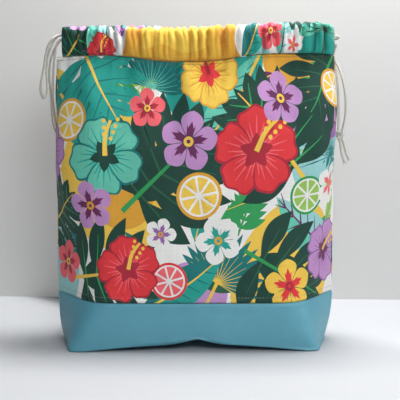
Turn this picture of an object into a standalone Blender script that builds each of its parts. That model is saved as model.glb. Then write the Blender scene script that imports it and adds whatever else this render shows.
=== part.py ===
"""Kinchaku drawstring pouch: two printed cotton panels on a boxed vinyl base,
a plain lining, two gathered casings along the mouth and two drawcords that
enter from opposite sides.

Frame: metres, +Z up, origin on the ground under the middle of the base.
The front panel faces -Y and +X is to the right of someone looking at it.
All dimensions below are in millimetres and are scaled by MM.
"""
import math

import bmesh
import bpy
import numpy as np

MM = 0.001

# ---------------------------------------------------------------- dimensions
SEAM_Z = 45.0          # height of the seam between vinyl and print
SEAM_GAP = 0.15        # half of the play left between edges that are sewn together
PANEL_T = 0.8          # cotton with its interfacing
VINYL_T = 1.2          # vinyl with its woven backing
LINING_IN = 2.2        # outer face of the lining, in from the outer skin
LINING_T = 0.55
CASING_T = 0.6
CASING_HALF = 4.4      # half the thickness of a puffed casing
CASING_HALF_END = 3.1  # the same at its flat, hemmed ends
CASING_X0, CASING_X1 = -116.0, 120.5   # the casings stop short of the side seams
CORD_D = 2.2
BASE_ARCH = 6.3        # how far the middle of the base stands off the ground
BASE_NOTCH = 4.6       # the crease in the middle of the arch
FLAT_X = 98.0          # outside this the base lies flat
RIDGE_X = 66.0         # the floor closes on a middle line of this half length

# The lower body is a box whose ends fold out to the side seams. Height, left and
# right side seam, left and right bend, front depth, back depth, rounding of the
# bends, bulge of the folded-out faces
BOX = (
    (0.0, 118.3, 117.4, 112.0, 108.6, 48.8, 47.6, 3.4, 0.0),
    (12.0, 121.5, 120.6, 105.8, 103.2, 49.4, 48.6, 4.6, 0.6),
    (25.0, 123.5, 122.9, 99.0, 97.3, 49.8, 49.0, 6.5, 1.0),
    (45.0, 124.9, 124.0, 88.9, 88.6, 50.2, 49.5, 8.5, 1.4),
    (75.0, 125.4, 123.8, 83.0, 83.0, 50.1, 49.4, 18.0, 2.2),
    (110.0, 125.4, 124.1, 80.0, 80.0, 48.8, 48.2, 30.0, 3.0),
    (150.0, 125.4, 123.9, 78.0, 78.0, 46.4, 45.6, 38.0, 3.5),
    (190.0, 125.1, 124.5, 76.0, 76.0, 42.0, 40.4, 42.0, 3.5),
)
SEAM_ROUND = 2.6                    # rounding of the creases at the side seams
BOX_TO, ROUND_FROM = 70.0, 185.0    # between these heights the box turns into the tube above

# The gathered upper body is a flattened tube. Height, left half width, right half
# width, front depth, back depth, squareness
SECTIONS = (
    (75.0, 124.2, 123.0, 49.0, 49.0, 4.1),
    (110.0, 124.7, 123.4, 48.2, 47.8, 3.7),
    (150.0, 124.7, 123.2, 46.2, 45.4, 3.4),
    (190.0, 124.4, 123.8, 42.0, 40.4, 3.0),
    (215.0, 124.0, 124.6, 37.2, 35.2, 2.8),
    (232.0, 123.6, 122.6, 32.0, 29.0, 2.6),
    (252.0, 122.8, 122.8, 24.5, 21.0, 2.3),
    (290.0, 121.4, 122.2, 22.5, 18.5, 2.3),
)
SKEW = 0.0203          # the base sits slightly turned under the body

NU = 40                # steps along one panel, from side seam to side seam


# ---------------------------------------------------------------- section maths
def hermite(table, z):
    """Smooth reading of the section table at height z."""
    rows = np.array(table)
    h = rows[:, 0]
    z = min(max(z, h[0]), h[-1])
    k = min(max(int(np.searchsorted(h, z)) - 1, 0), len(h) - 2)

    def slope(i):
        a, b = max(i - 1, 0), min(i + 1, len(h) - 1)
        return (rows[b, 1:] - rows[a, 1:]) / (h[b] - h[a])

    d = h[k + 1] - h[k]
    t = (z - h[k]) / d
    m0, m1 = slope(k) * d, slope(k + 1) * d
    return ((2 * t**3 - 3 * t**2 + 1) * rows[k, 1:] + (t**3 - 2 * t**2 + t) * m0
            + (-2 * t**3 + 3 * t**2) * rows[k + 1, 1:] + (t**3 - t**2) * m1)


_CACHE = {}


def by_length(x, y, count=721):
    """The same curve with its points evenly spaced."""
    run = np.concatenate([[0.0], np.cumsum(np.hypot(np.diff(x), np.diff(y)))])
    at = np.linspace(0.0, run[-1], count)
    return np.interp(at, run, x), np.interp(at, run, y)


def box_half(z, side, inset):
    """Half of the box section: a straight face between two rounded bends, and an
    end face from each bend out to its side seam."""
    left, right, bend_l, bend_r, front, back, rounding, bulge = hermite(BOX, z)
    depth = front if side < 0 else back
    ends = []
    for seam, bend in ((left, bend_l), (right, bend_r)):
        slope = (seam - bend) / depth
        seam_in = seam - inset * math.hypot(1.0, slope)
        ends.append((seam_in, seam_in - slope * (depth - inset)))
    d = depth - inset
    x, y = [], []
    for k, ((seam, bend), sign) in enumerate(zip(ends, (-1.0, 1.0))):
        f = np.linspace(0.0, 1.0, 120)
        length = math.hypot(seam - bend, d)
        out = bulge * np.sin(math.pi * f)
        ex = seam + (bend - seam) * f + out * d / length
        ey = d * f + out * (seam - bend) / length
        if k == 0:
            x, y = list(sign * ex), list(ey)
        else:
            x += list(sign * ex[::-1])
            y += list(ey[::-1])
    x, y = by_length(np.array(x), np.array(y))
    step = math.hypot(x[1] - x[0], y[1] - y[0])
    w = max(1, int(round(rounding / step)))
    for _ in range(2):
        for v in (x, y):
            ext = np.concatenate([2 * v[0] - v[w:0:-1], v, 2 * v[-1] - v[-2:-w - 2:-1]])
            total = np.concatenate([[0.0], np.cumsum(ext)])
            v[:] = (total[2 * w + 1:] - total[:-2 * w - 1]) / (2 * w + 1)
    w = max(1, int(round(SEAM_ROUND / step)))
    for v, mirror in ((x, 1.0), (y, -1.0)):     # the side seams are creases with a small radius
        ext = np.concatenate([mirror * v[w:0:-1], v, mirror * v[-2:-w - 2:-1]])
        total = np.concatenate([[0.0], np.cumsum(ext)])
        v[:] = (total[2 * w + 1:] - total[:-2 * w - 1]) / (2 * w + 1)
    return by_length(x, side * y)


def tube_half(z, side, inset):
    """Half of the flattened tube's section."""
    left, right, front, back, n = hermite(SECTIONS, z)
    phi = np.linspace(math.pi, 0.0, 1441)
    c, s = np.cos(phi), np.sin(phi)
    a = np.where(c < 0, left, right) - inset
    b = (front if side < 0 else back) - inset
    r = (np.abs(c / a) ** n + np.abs(s / b) ** n) ** (-1.0 / n)
    return by_length(r * c, side * r * s)


def half_section(z, side, inset=0.0):
    """Points along one half of the section at height z, from the left side seam
    to the right one: side -1 is the front half and +1 the back half."""
    key = (round(z, 4), side, inset)
    if key not in _CACHE:
        k = min(max((z - BOX_TO) / (ROUND_FROM - BOX_TO), 0.0), 1.0)
        k = k * k * (3.0 - 2.0 * k)
        if k <= 0.0:
            x, y = box_half(z, side, inset)
        elif k >= 1.0:
            x, y = tube_half(z, side, inset)
        else:
            (xa, ya), (xb, yb) = box_half(z, side, inset), tube_half(z, side, inset)
            x, y = by_length(xa + (xb - xa) * k, ya + (yb - ya) * k)
        y = y + x * SKEW * max(0.0, 1.0 - z / 110.0) ** 1.5
        _CACHE[key] = (np.linspace(0.0, 1.0, len(x)), x, y)
    return _CACHE[key]


def skin(u, z, side, inset=0.0):
    share, x, y = half_section(z, side, inset)
    return float(np.interp(u, share, x)), float(np.interp(u, share, y))


def spread(t):
    """Steps from 0 to 1 that are closer together near the side seams."""
    return 0.68 * 0.5 * (1.0 - math.cos(math.pi * t)) + 0.32 * t


def seam_z(x):
    """The vinyl's upper edge sags a little across the front."""
    return SEAM_Z - 1.3 * (1.0 - min(1.0, abs(x) / 112.0) ** 4)


def casing_z(x, side):
    """The seam under the casing dips where the gathers pull it down."""
    if side < 0:
        return 257.2 - 6.0 * math.exp(-(abs(x + 6.0) / 45.0) ** 3) + 0.010 * x - 2.4 * (abs(x) / 122.0) ** 10
    return 256.0 - 2.5 * math.exp(-(abs(x - 8.0) / 60.0) ** 2) - 1.6 * (abs(x) / 122.0) ** 10


def rim_z(x, side):
    """The gathered upper rim."""
    if side < 0:
        return 282.6 + 0.012 * x - 2.4 * math.exp(-((x + 18.0) / 42.0) ** 2) + 1.6 * math.exp(-((x - 82.0) / 30.0) ** 2) - 3.4 * max(0.0, (x - 108.0) / 13.0) ** 2
    return 281.2 - 1.6 * math.exp(-((x - 10.0) / 60.0) ** 2)


def arch(x):
    """How far the base stands off the ground: a shallow arch with a crease in it."""
    if abs(x) >= FLAT_X:
        return 0.0
    return BASE_NOTCH * math.exp(-(abs(x - 0.8) / 14.5) ** 1.6) + BASE_ARCH * (1.0 - (x / FLAT_X) ** 2) ** 1.1


# ---------------------------------------------------------------- scene helpers
for ob in list(bpy.data.objects):
    bpy.data.objects.remove(ob, do_unlink=True)

parts = bpy.data.collections.new("kinchaku_pouch")
cutters = bpy.data.collections.new("cutters")
bpy.context.scene.collection.children.link(parts)
bpy.context.scene.collection.children.link(cutters)


def finish(name, colour, rough, metallic=0.0):
    mat = bpy.data.materials.new(name)
    mat.use_nodes = True
    bsdf = mat.node_tree.nodes["Principled BSDF"]
    bsdf.inputs["Base Color"].default_value = (*colour, 1.0)
    bsdf.inputs["Roughness"].default_value = rough
    bsdf.inputs["Metallic"].default_value = metallic
    return mat


def mapped_grid(name, nu, nv, place, weld=0.0):
    """A grid primitive of nu by nv cells whose unit square is laid out by place."""
    bm = bmesh.new()
    bmesh.ops.create_grid(bm, x_segments=nu, y_segments=nv, size=0.5)
    for v in bm.verts:
        v.co = [c * MM for c in place(v.co.x + 0.5, v.co.y + 0.5)]
    if weld:
        bmesh.ops.remove_doubles(bm, verts=bm.verts, dist=weld * MM)
        bmesh.ops.dissolve_degenerate(bm, dist=weld * MM * 0.5, edges=bm.edges)
    mesh = bpy.data.meshes.new(name)
    bm.to_mesh(mesh)
    bm.free()
    ob = bpy.data.objects.new(name, mesh)
    parts.objects.link(ob)
    return ob


def thicken(ob, thickness, inward):
    """Thickness grows to the inside of the outer face."""
    mod = ob.modifiers.new("thickness", "SOLIDIFY")
    mod.thickness = thickness * MM
    mod.offset = -1.0 if inward else 1.0
    mod.use_even_offset = True
    mod.use_rim = True
    return mod


def face_out(ob, centre):
    """Turns the open surface so that its faces look away from centre(co)."""
    bm = bmesh.new()
    bm.from_mesh(ob.data)
    bmesh.ops.recalc_face_normals(bm, faces=bm.faces)
    vote = 0.0
    for f in bm.faces:
        c = f.calc_center_median()
        o = centre(c)
        vote += f.calc_area() * ((c.x - o[0]) * f.normal.x + (c.y - o[1]) * f.normal.y + (c.z - o[2]) * f.normal.z)
    if vote < 0:
        bmesh.ops.reverse_faces(bm, faces=bm.faces)
    bm.to_mesh(ob.data)
    bm.free()


def smooth(ob, angle=40.0):
    ob.data.shade_smooth()
    ob.data.set_sharp_from_angle(angle=math.radians(angle))


# ---------------------------------------------------------------- cotton panels
def panel(name, side, colour):
    def place(s, t):
        edge = 0.0018
        u = edge + (1.0 - 2.0 * edge) * spread(s)
        x0, _ = skin(u, SEAM_Z, side)
        x1, _ = skin(u, 252.0, side)
        low, high = seam_z(x0) + SEAM_GAP, casing_z(x1, side) - SEAM_GAP
        z = low + (high - low) * t
        x, y = skin(u, z, side)
        return x, y, z

    ob = mapped_grid(name, NU, 8, place)
    face_out(ob, lambda c: (c.x * 0.8, 0.0, c.z))
    thicken(ob, PANEL_T, True)
    smooth(ob)
    ob.data.materials.append(finish(name, colour, 0.85))
    return ob


panel("front_panel", -1, (0.06, 0.30, 0.24))
panel("back_panel", +1, (0.06, 0.30, 0.24))


# ---------------------------------------------------------------- vinyl base
# Each row: height as a share of the wall, inset in mm, share of the way under
WALL = ((1.0, 0.0, 0.0), (0.8, 0.0, 0.0), (0.58, 0.0, 0.0), (0.38, 0.0, 0.0),
        (0.2, 0.0, 0.0), (0.09, 0.0, 0.0), (0.025, 0.7, 0.0), (0.0, 2.6, 0.0),
        (0.0, 2.6, 0.25), (0.0, 2.6, 0.5), (0.0, 2.6, 0.75), (0.0, 2.6, 1.0))


def tray(name, rows, wall_top, probe_z, outer_inset, floor_lift, nu):
    """A boxed tray: rings from its upper edge down the wall and across the floor."""
    count = len(rows) - 1

    def place(s, t):
        ring = s * 2.0
        side = -1 if ring <= 1.0 else 1
        w = ring if side < 0 else 2.0 - ring
        u = spread(min(max(w, 0.0), 1.0))
        share, inset, under = rows[int(round((1.0 - t) * count))]
        base = arch(skin(u, 0.0, side)[0])
        z = base + (wall_top(skin(u, probe_z, side)[0], side) - base) * share
        x, y = skin(u, z, side, outer_inset + inset)
        if under:
            middle = 0.5 * (skin(u, z, -1, outer_inset + inset)[0] + skin(u, z, 1, outer_inset + inset)[0])
            middle = min(max(middle, -RIDGE_X), RIDGE_X)
            x += (middle - x) * under
            y *= 1.0 - under
        lift = floor_lift if share < 1.0 else 0.0
        z_floor = arch(x) if share == 0.0 else z
        return x, y, (z_floor if share == 0.0 else z) + lift * (1.0 - share)

    return mapped_grid(name, 2 * nu, count, place, weld=0.05)


base = tray("base", WALL, lambda x, s: seam_z(x) - SEAM_GAP, SEAM_Z, 0.0, 0.0, NU)
face_out(base, lambda c: (c.x * 0.8, 0.0, 0.03))
thicken(base, VINYL_T, True)
smooth(base, 50.0)
base.data.materials.append(finish("base", (0.11, 0.28, 0.36), 0.45))


# ---------------------------------------------------------------- lining
LINING_ROWS = ((1.0, 0.0, 0.0), (0.88, 0.0, 0.0), (0.76, 0.0, 0.0), (0.6, 0.0, 0.0),
               (0.42, 0.0, 0.0), (0.28, 0.0, 0.0), (0.2, 0.0, 0.0), (0.155, 0.0, 0.0), (0.11, 0.0, 0.0), (0.05, 0.3, 0.0), (0.012, 1.2, 0.0), (0.0, 4.2, 0.0),
               (0.0, 4.2, 0.33), (0.0, 4.2, 0.66), (0.0, 4.2, 1.0))
lining = tray("lining", LINING_ROWS, lambda x, s: casing_z(x, s) - SEAM_GAP, 252.0, LINING_IN, LINING_IN + 0.1, NU)
face_out(lining, lambda c: (c.x * 0.8, 0.0, 0.1))
thicken(lining, LINING_T, True)
smooth(lining, 50.0)
lining.data.materials.append(finish("lining", (0.62, 0.60, 0.54), 0.9))


# ---------------------------------------------------------------- casings
def casing_axis(x, z, side):
    """Middle of the casing at this x: over the seam, a little inside the skin."""
    left, right, front, back, n = hermite(SECTIONS, z)
    a = left if x < 0 else right
    b = front if side < 0 else back
    y = b * max(0.0, 1.0 - (abs(x) / a) ** n) ** (1.0 / n)
    return side * (y - 1.2)


def casing(name, side, colour):
    def place(s, t):
        x = CASING_X0 + (CASING_X1 - CASING_X0) * spread(s)
        k = min(abs(x - CASING_X0), abs(CASING_X1 - x)) / 30.0
        half = CASING_HALF_END + (CASING_HALF - CASING_HALF_END) * math.sin(min(1.0, k) * math.pi / 2)
        low, high = casing_z(x, side) + SEAM_GAP + 0.15, rim_z(x, side)
        angle = 2.0 * math.pi * t
        c, w = math.cos(angle), math.sin(angle)
        across = half * math.copysign(abs(w) ** 0.72, w)
        up = 0.5 - 0.5 * c
        z = low + (high - low) * up
        y0 = casing_axis(x, 258.0, side)
        h = 0.5
        slope = (casing_axis(x + h, 258.0, side) - casing_axis(x - h, 258.0, side)) / (2 * h)
        nx, ny = slope, -1.0
        q = math.hypot(nx, ny)
        nx, ny = nx / q, ny / q
        k = min(max((abs(x) - 78.0) / 36.0, 0.0), 1.0)
        nx *= 1.0 - 0.6 * k * k * (3.0 - 2.0 * k)     # the ends are cut square to X
        return x + nx * across, y0 + ny * across, z

    ob = mapped_grid(name, 28, 12, place, weld=0.01)
    face_out(ob, lambda c: (c.x, casing_axis(c.x / MM, 258.0, side) * MM, 0.268))
    thicken(ob, CASING_T, True)
    smooth(ob, 60.0)
    ob.data.materials.append(finish(name, colour, 0.85))
    return ob


casing("front_casing", -1, (0.75, 0.50, 0.10))
casing("back_casing", +1, (0.75, 0.50, 0.10))


# ---------------------------------------------------------------- drawcords
def through(points, step, keep_ends=True):
    """Points at about the given step on a smooth curve through the route's points."""
    p = np.array(points, float)
    ext = np.vstack([2 * p[0] - p[1], p, 2 * p[-1] - p[-2]])
    fine = []
    for i in range(1, len(ext) - 2):
        p0, p1, p2, p3 = ext[i - 1:i + 3]
        a, b, c = (max(float(np.linalg.norm(q - r)), 1e-6) ** 0.5 for q, r in ((p1, p0), (p2, p1), (p3, p2)))
        m1 = b * ((p1 - p0) / a - (p2 - p0) / (a + b) + (p2 - p1) / b)
        m2 = b * ((p2 - p1) / b - (p3 - p1) / (b + c) + (p3 - p2) / c)
        for k in range(24):
            t = k / 24.0
            fine.append((2 * t**3 - 3 * t**2 + 1) * p1 + (t**3 - 2 * t**2 + t) * m1
                        + (-2 * t**3 + 3 * t**2) * p2 + (t**3 - t**2) * m2)
    fine.append(ext[-2])
    fine = np.array(fine)
    run = np.concatenate([[0.0], np.cumsum(np.linalg.norm(np.diff(fine, axis=0), axis=1))])
    count = max(2, int(round(run[-1] / step)))
    at = np.linspace(0.0, run[-1], count + 1)
    return np.stack([np.interp(at, run, fine[:, k]) for k in range(3)], axis=1)


def tube(name, points, diameter, collection):
    """A cord: a POLY spline with a round bevel, turned into a welded mesh."""
    curve = bpy.data.curves.new(name, "CURVE")
    curve.dimensions = "3D"
    curve.bevel_depth = diameter * MM / 2
    curve.bevel_resolution = 2
    curve.use_fill_caps = True
    spline = curve.splines.new("POLY")
    spline.points.add(len(points) - 1)
    for slot, co in zip(spline.points, points):
        slot.co = (co[0] * MM, co[1] * MM, co[2] * MM, 1.0)
    guide = bpy.data.objects.new(name + "_curve", curve)
    cutters.objects.link(guide)
    deps = bpy.context.evaluated_depsgraph_get()
    mesh = bpy.data.meshes.new_from_object(guide.evaluated_get(deps))
    bm = bmesh.new()
    bm.from_mesh(mesh)
    bmesh.ops.remove_doubles(bm, verts=bm.verts, dist=0.00001)
    bmesh.ops.recalc_face_normals(bm, faces=bm.faces)
    bm.to_mesh(mesh)
    bm.free()
    ob = bpy.data.objects.new(name, mesh)
    ob.matrix_world = guide.matrix_world
    collection.objects.link(ob)
    bpy.data.objects.remove(guide, do_unlink=True)
    return ob


def knot_body(name, centre, size):
    bm = bmesh.new()
    bmesh.ops.create_uvsphere(bm, u_segments=14, v_segments=9, radius=1.0)
    for v in bm.verts:
        v.co = [(centre[k] + v.co[k] * size[k]) * MM for k in range(3)]
    mesh = bpy.data.meshes.new(name)
    bm.to_mesh(mesh)
    bm.free()
    ob = bpy.data.objects.new(name, mesh)
    cutters.objects.link(ob)
    return ob


def join(ob, other, label):
    mod = ob.modifiers.new(label, "BOOLEAN")
    mod.operation = "UNION"
    mod.object = other
    other.hide_render = True
    other.display_type = "WIRE"


def inside_run(side, z_left, z_right, shift, step=14.0):
    """The cord's run in a casing, from its left end to its right end."""
    count = int((CASING_X1 - CASING_X0) / step)
    out = []
    for i in range(count + 1):
        t = 0.35 * i / count + 0.65 * (0.5 - 0.5 * math.cos(math.pi * i / count))
        x = CASING_X0 + (CASING_X1 - CASING_X0) * t
        z = z_left + (z_right - z_left) * (3 * t * t - 2 * t**3)
        y = casing_axis(x, 258.0, side) + shift * math.sin(math.pi * t) ** 0.8
        out.append((x, y, z))
    return out


YL, YR = -casing_axis(CASING_X0, 258.0, -1), -casing_axis(CASING_X1, 258.0, -1)
YLB, YRB = casing_axis(CASING_X0, 258.0, 1), casing_axis(CASING_X1, 258.0, 1)

# free stretches, each from the casing's end to the knot (or back into the object)
LEFT_BACK = ((-119.3, YLB + 0.8, 269.2), (-123.0, 10.3, 265.5), (-126.3, 11.0, 259.5), (-129.0, 11.2, 252.0),
             (-130.4, 11.4, 244.0), (-130.8, 12.0, 235.5), (-130.2, 13.0, 227.0), (-129.7, 14.8, 218.5),
             (-129.9, 17.0, 210.0), (-130.0, 19.6, 201.5), (-129.2, 22.6, 193.0), (-126.6, 26.6, 185.0), (-122.6, 30.4, 179.2))
LEFT_FRONT = ((-119.2, -YL - 0.5, 268.9), (-121.7, -YL - 0.3, 264.8), (-122.9, -8.2, 258.5), (-124.2, -6.0, 251.5),
              (-125.3, -2.5, 244.5), (-126.3, 1.5, 237.0), (-127.2, 5.8, 228.5), (-127.8, 10.0, 219.5),
              (-127.7, 13.4, 210.5), (-127.3, 16.6, 201.5), (-126.2, 20.2, 192.5), (-123.2, 25.0, 184.8), (-119.6, 28.6, 179.4))
LEFT_BIGHT = ((-119.5, -YL - 0.7, 273.6), (-124.5, -10.4, 270.8), (-128.6, -9.8, 265.0), (-131.0, -9.0, 257.0),
              (-132.6, -8.2, 248.0), (-134.8, -7.4, 238.0), (-136.4, -6.4, 229.5), (-136.4, -4.2, 222.6),
              (-134.5, 0.0, 218.4), (-132.4, 4.2, 222.3), (-132.0, 6.5, 230.0), (-132.6, 7.3, 240.0),
              (-132.0, 7.8, 251.0), (-129.4, 8.4, 261.0), (-126.0, 9.6, 268.6), (-121.0, YLB + 0.8, 273.0))
RIGHT_BACK = ((122.2, YRB + 0.3, 266.5), (124.2, YRB + 2.8, 265.4), (124.0, 11.6, 262.2), (123.2, 14.2, 256.6), (123.6, 14.0, 250.0),
              (124.8, 11.8, 242.5), (125.9, 9.2, 235.0), (126.5, 7.0, 227.0), (126.7, 5.6, 219.0),
              (126.9, 4.6, 211.0), (127.1, 3.8, 203.0), (127.2, 3.0, 195.5), (127.0, 2.0, 188.6))
RIGHT_FRONT = ((122.6, -YR + 1.6, 265.2), (122.7, 1.2, 263.0), (122.4, 6.0, 260.0), (122.3, 9.8, 256.0),
               (123.9, 10.6, 250.6), (126.8, 8.0, 245.8), (128.8, 5.2, 240.0), (130.7, 3.2, 232.5),
               (132.2, 2.0, 224.5), (133.0, 1.6, 216.5), (133.2, 1.6, 208.5), (132.7, 2.0, 201.0),
               (131.5, 2.8, 194.2), (129.8, 3.8, 188.4))
RIGHT_BIGHT = ((123.6, -YR + 1.0, 272.6), (125.6, 0.0, 271.4), (123.7, YRB - 0.9, 270.2))

LEFT_KNOT, RIGHT_KNOT = (-120.4, 30.2, 176.5), (128.2, 3.2, 185.2)
KNOT_SIZE = (3.9, 3.9, 5.4)
LEFT_TAILS = (((-121.2, 31.6, 175.6), (-121.6, 33.2, 169.8), (-120.8, 34.4, 164.2), (-120.2, 34.8, 157.8)),
              ((-118.9, 28.8, 175.8), (-117.7, 28.4, 169.8), (-117.5, 28.4, 164.0), (-116.6, 28.8, 158.4)))
RIGHT_TAILS = (((127.6, 2.0, 184.2), (128.7, 1.4, 178.9), (129.3, 1.2, 173.8), (130.2, 1.2, 168.6), (131.7, 1.2, 164.0)),
               ((129.0, 4.5, 184.4), (131.2, 5.0, 180.0), (132.8, 5.2, 175.0), (134.2, 5.2, 170.2), (135.7, 5.2, 165.8)))

FREE_STEP = 5.6


def drawcord(name, main, knot, tails, colour):
    ob = tube(name, main, CORD_D, parts)
    body = knot_body(name + "_knot", knot, KNOT_SIZE)
    join(ob, body, "knot")
    for i, tail in enumerate(tails):
        end = tube("%s_tail_%d" % (name, i + 1), through(tail, 5.0), CORD_D, cutters)
        join(ob, end, "tail_%d" % (i + 1))
    ob.data.shade_smooth()
    ob.data.materials.append(finish(name, colour, 0.8))
    return ob


def run_of(*stretches):
    return np.vstack(stretches)


# left cord: knot - back casing - small bight at the right - front casing - knot
left_main = run_of(
    through(LEFT_BACK[::-1] + ((CASING_X0, YLB, 269.7),), FREE_STEP)[:-1],
    through(inside_run(1, 269.7, 270.0, 1.4), 14.0)[:-1],
    through(((CASING_X1, YRB, 270.0),) + RIGHT_BIGHT[::-1] + ((CASING_X1, -YR, 272.8),), 3.6)[:-1],
    through(inside_run(-1, 269.7, 272.8, 1.4)[::-1], 14.0)[:-1],
    through(((CASING_X0, -YL, 269.7),) + LEFT_FRONT, FREE_STEP),
)
drawcord("drawcord_left", left_main, LEFT_KNOT, LEFT_TAILS, (0.42, 0.39, 0.33))

# right cord: knot - back casing - slack bight at the left - front casing - knot
right_main = run_of(
    through(RIGHT_BACK[::-1] + ((CASING_X1, YRB, 266.2),), FREE_STEP)[:-1],
    through(inside_run(1, 273.6, 266.2, -1.4)[::-1], 14.0)[:-1],
    through(((CASING_X0, YLB, 273.6),) + LEFT_BIGHT[::-1] + ((CASING_X0, -YL, 273.6),), 4.6)[:-1],
    through(inside_run(-1, 273.6, 266.2, -1.4), 14.0)[:-1],
    through(((CASING_X1, -YR, 266.2),) + RIGHT_FRONT, FREE_STEP),
)
drawcord("drawcord_right", right_main, RIGHT_KNOT, RIGHT_TAILS, (0.42, 0.39, 0.33))
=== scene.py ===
import math

import bpy
import numpy as np
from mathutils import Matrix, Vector, geometry, kdtree


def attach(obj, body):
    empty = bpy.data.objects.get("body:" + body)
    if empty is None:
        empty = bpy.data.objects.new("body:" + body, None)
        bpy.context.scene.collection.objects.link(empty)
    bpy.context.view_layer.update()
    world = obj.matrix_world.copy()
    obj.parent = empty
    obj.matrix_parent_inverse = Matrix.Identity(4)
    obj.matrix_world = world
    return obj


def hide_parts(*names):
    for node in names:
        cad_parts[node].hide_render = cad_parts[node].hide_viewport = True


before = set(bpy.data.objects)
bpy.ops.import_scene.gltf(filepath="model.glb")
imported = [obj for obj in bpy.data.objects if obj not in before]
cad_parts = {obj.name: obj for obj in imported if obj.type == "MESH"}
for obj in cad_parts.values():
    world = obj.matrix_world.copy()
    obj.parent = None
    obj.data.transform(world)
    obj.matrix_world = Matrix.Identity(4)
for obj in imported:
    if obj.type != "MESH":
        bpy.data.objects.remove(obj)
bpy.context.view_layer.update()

MM = 0.001

# =====================================================================  camera
cam_data = bpy.data.cameras.new("camera")
cam_data.sensor_width = 36.0
cam_data.lens = 36.0 * 1293.9 / 400.0
cam_data.clip_start = 0.05
cam = bpy.data.objects.new("camera", cam_data)
bpy.context.scene.collection.objects.link(cam)
cam.location = (0.0063, -1.1470, 0.2956)
cam.rotation_mode = "QUATERNION"
cam.rotation_quaternion = Vector((-0.002178, 0.989373, -0.145381)).to_track_quat("-Z", "Y")
bpy.context.scene.camera = cam
bpy.context.scene.view_settings.view_transform = "Standard"


# =====================================================================  colours
def lin(r, g, b):
    out = []
    for c in (r, g, b):
        c /= 255.0
        out.append(c / 12.92 if c <= 0.04045 else ((c + 0.055) / 1.055) ** 2.4)
    return tuple(out)


INK = {
    "deep": lin(20, 66, 54),
    "deep2": lin(36, 96, 68),
    "teal": lin(16, 158, 144),
    "teal2": lin(10, 118, 116),
    "mint": lin(96, 196, 172),
    "green": lin(40, 156, 84),
    "lime": lin(150, 194, 84),
    "yellow": lin(238, 196, 66),
    "gold": lin(220, 158, 34),
    "amber": lin(230, 177, 48),
    "red": lin(222, 34, 44),
    "crimson": lin(172, 22, 48),
    "coral": lin(240, 92, 102),
    "pink": lin(244, 150, 152),
    "lilac": lin(190, 140, 196),
    "lilac2": lin(148, 92, 166),
    "aqua": lin(150, 206, 206),
    "plum": lin(104, 38, 88),
    "white": lin(234, 234, 230),
}


# =====================================================================  cords
CORD_D = 2.2
CASING_X0, CASING_X1 = -116.0, 120.5

SECTIONS = np.array((
    (75.0, 124.2, 123.0, 49.0, 49.0, 4.1),
    (110.0, 124.7, 123.4, 48.2, 47.8, 3.7),
    (150.0, 124.7, 123.2, 46.2, 45.4, 3.4),
    (190.0, 124.4, 123.8, 42.0, 40.4, 3.0),
    (215.0, 124.0, 124.6, 37.2, 35.2, 2.8),
    (232.0, 123.6, 122.6, 32.0, 29.0, 2.6),
    (252.0, 122.8, 122.8, 24.5, 21.0, 2.3),
    (290.0, 121.4, 122.2, 22.5, 18.5, 2.3),
))
BOX = np.array((
    (0.0, 118.3, 117.4, 112.0, 108.6, 48.8, 47.6, 4.4, 0.0),
    (12.0, 121.5, 120.6, 105.8, 103.2, 49.4, 48.6, 7.5, 0.6),
    (25.0, 123.5, 122.9, 99.0, 97.3, 49.8, 49.0, 10.5, 1.0),
    (45.0, 124.9, 124.0, 88.9, 88.6, 50.2, 49.5, 13.0, 1.4),
    (75.0, 125.4, 123.8, 83.0, 83.0, 50.1, 49.4, 19.0, 2.2),
    (110.0, 125.4, 124.1, 80.0, 80.0, 48.8, 48.2, 30.0, 3.0),
    (150.0, 125.4, 123.9, 78.0, 78.0, 46.4, 45.6, 38.0, 3.5),
    (190.0, 125.1, 124.5, 76.0, 76.0, 42.0, 40.4, 42.0, 3.5),
))
SEAM_ROUND = 2.6
BOX_TO, ROUND_FROM = 70.0, 185.0
SKEW = 0.0203
SEAM_Z = 45.0
BASE_ARCH, BASE_NOTCH, FLAT_X, RIDGE_X = 6.3, 4.6, 98.0, 66.0


def hermite(table, z):
    h = table[:, 0]
    z = min(max(z, h[0]), h[-1])
    k = min(max(int(np.searchsorted(h, z)) - 1, 0), len(h) - 2)

    def slope(i):
        a, b = max(i - 1, 0), min(i + 1, len(h) - 1)
        return (table[b, 1:] - table[a, 1:]) / (h[b] - h[a])

    d = h[k + 1] - h[k]
    t = (z - h[k]) / d
    m0, m1 = slope(k) * d, slope(k + 1) * d
    return ((2 * t**3 - 3 * t**2 + 1) * table[k, 1:] + (t**3 - 2 * t**2 + t) * m0
            + (-2 * t**3 + 3 * t**2) * table[k + 1, 1:] + (t**3 - t**2) * m1)


AXIS_ROW = hermite(SECTIONS, 258.0)


def casing_axis(x, side):
    """Middle of the casing at this x, in mm."""
    left, right, front, back, n = AXIS_ROW
    x = np.asarray(x, float)
    a = np.where(x < 0, left, right)
    b = front if side < 0 else back
    y = b * np.maximum(0.0, 1.0 - (np.abs(x) / a) ** n) ** (1.0 / n)
    return side * (y - 1.2)


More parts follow.
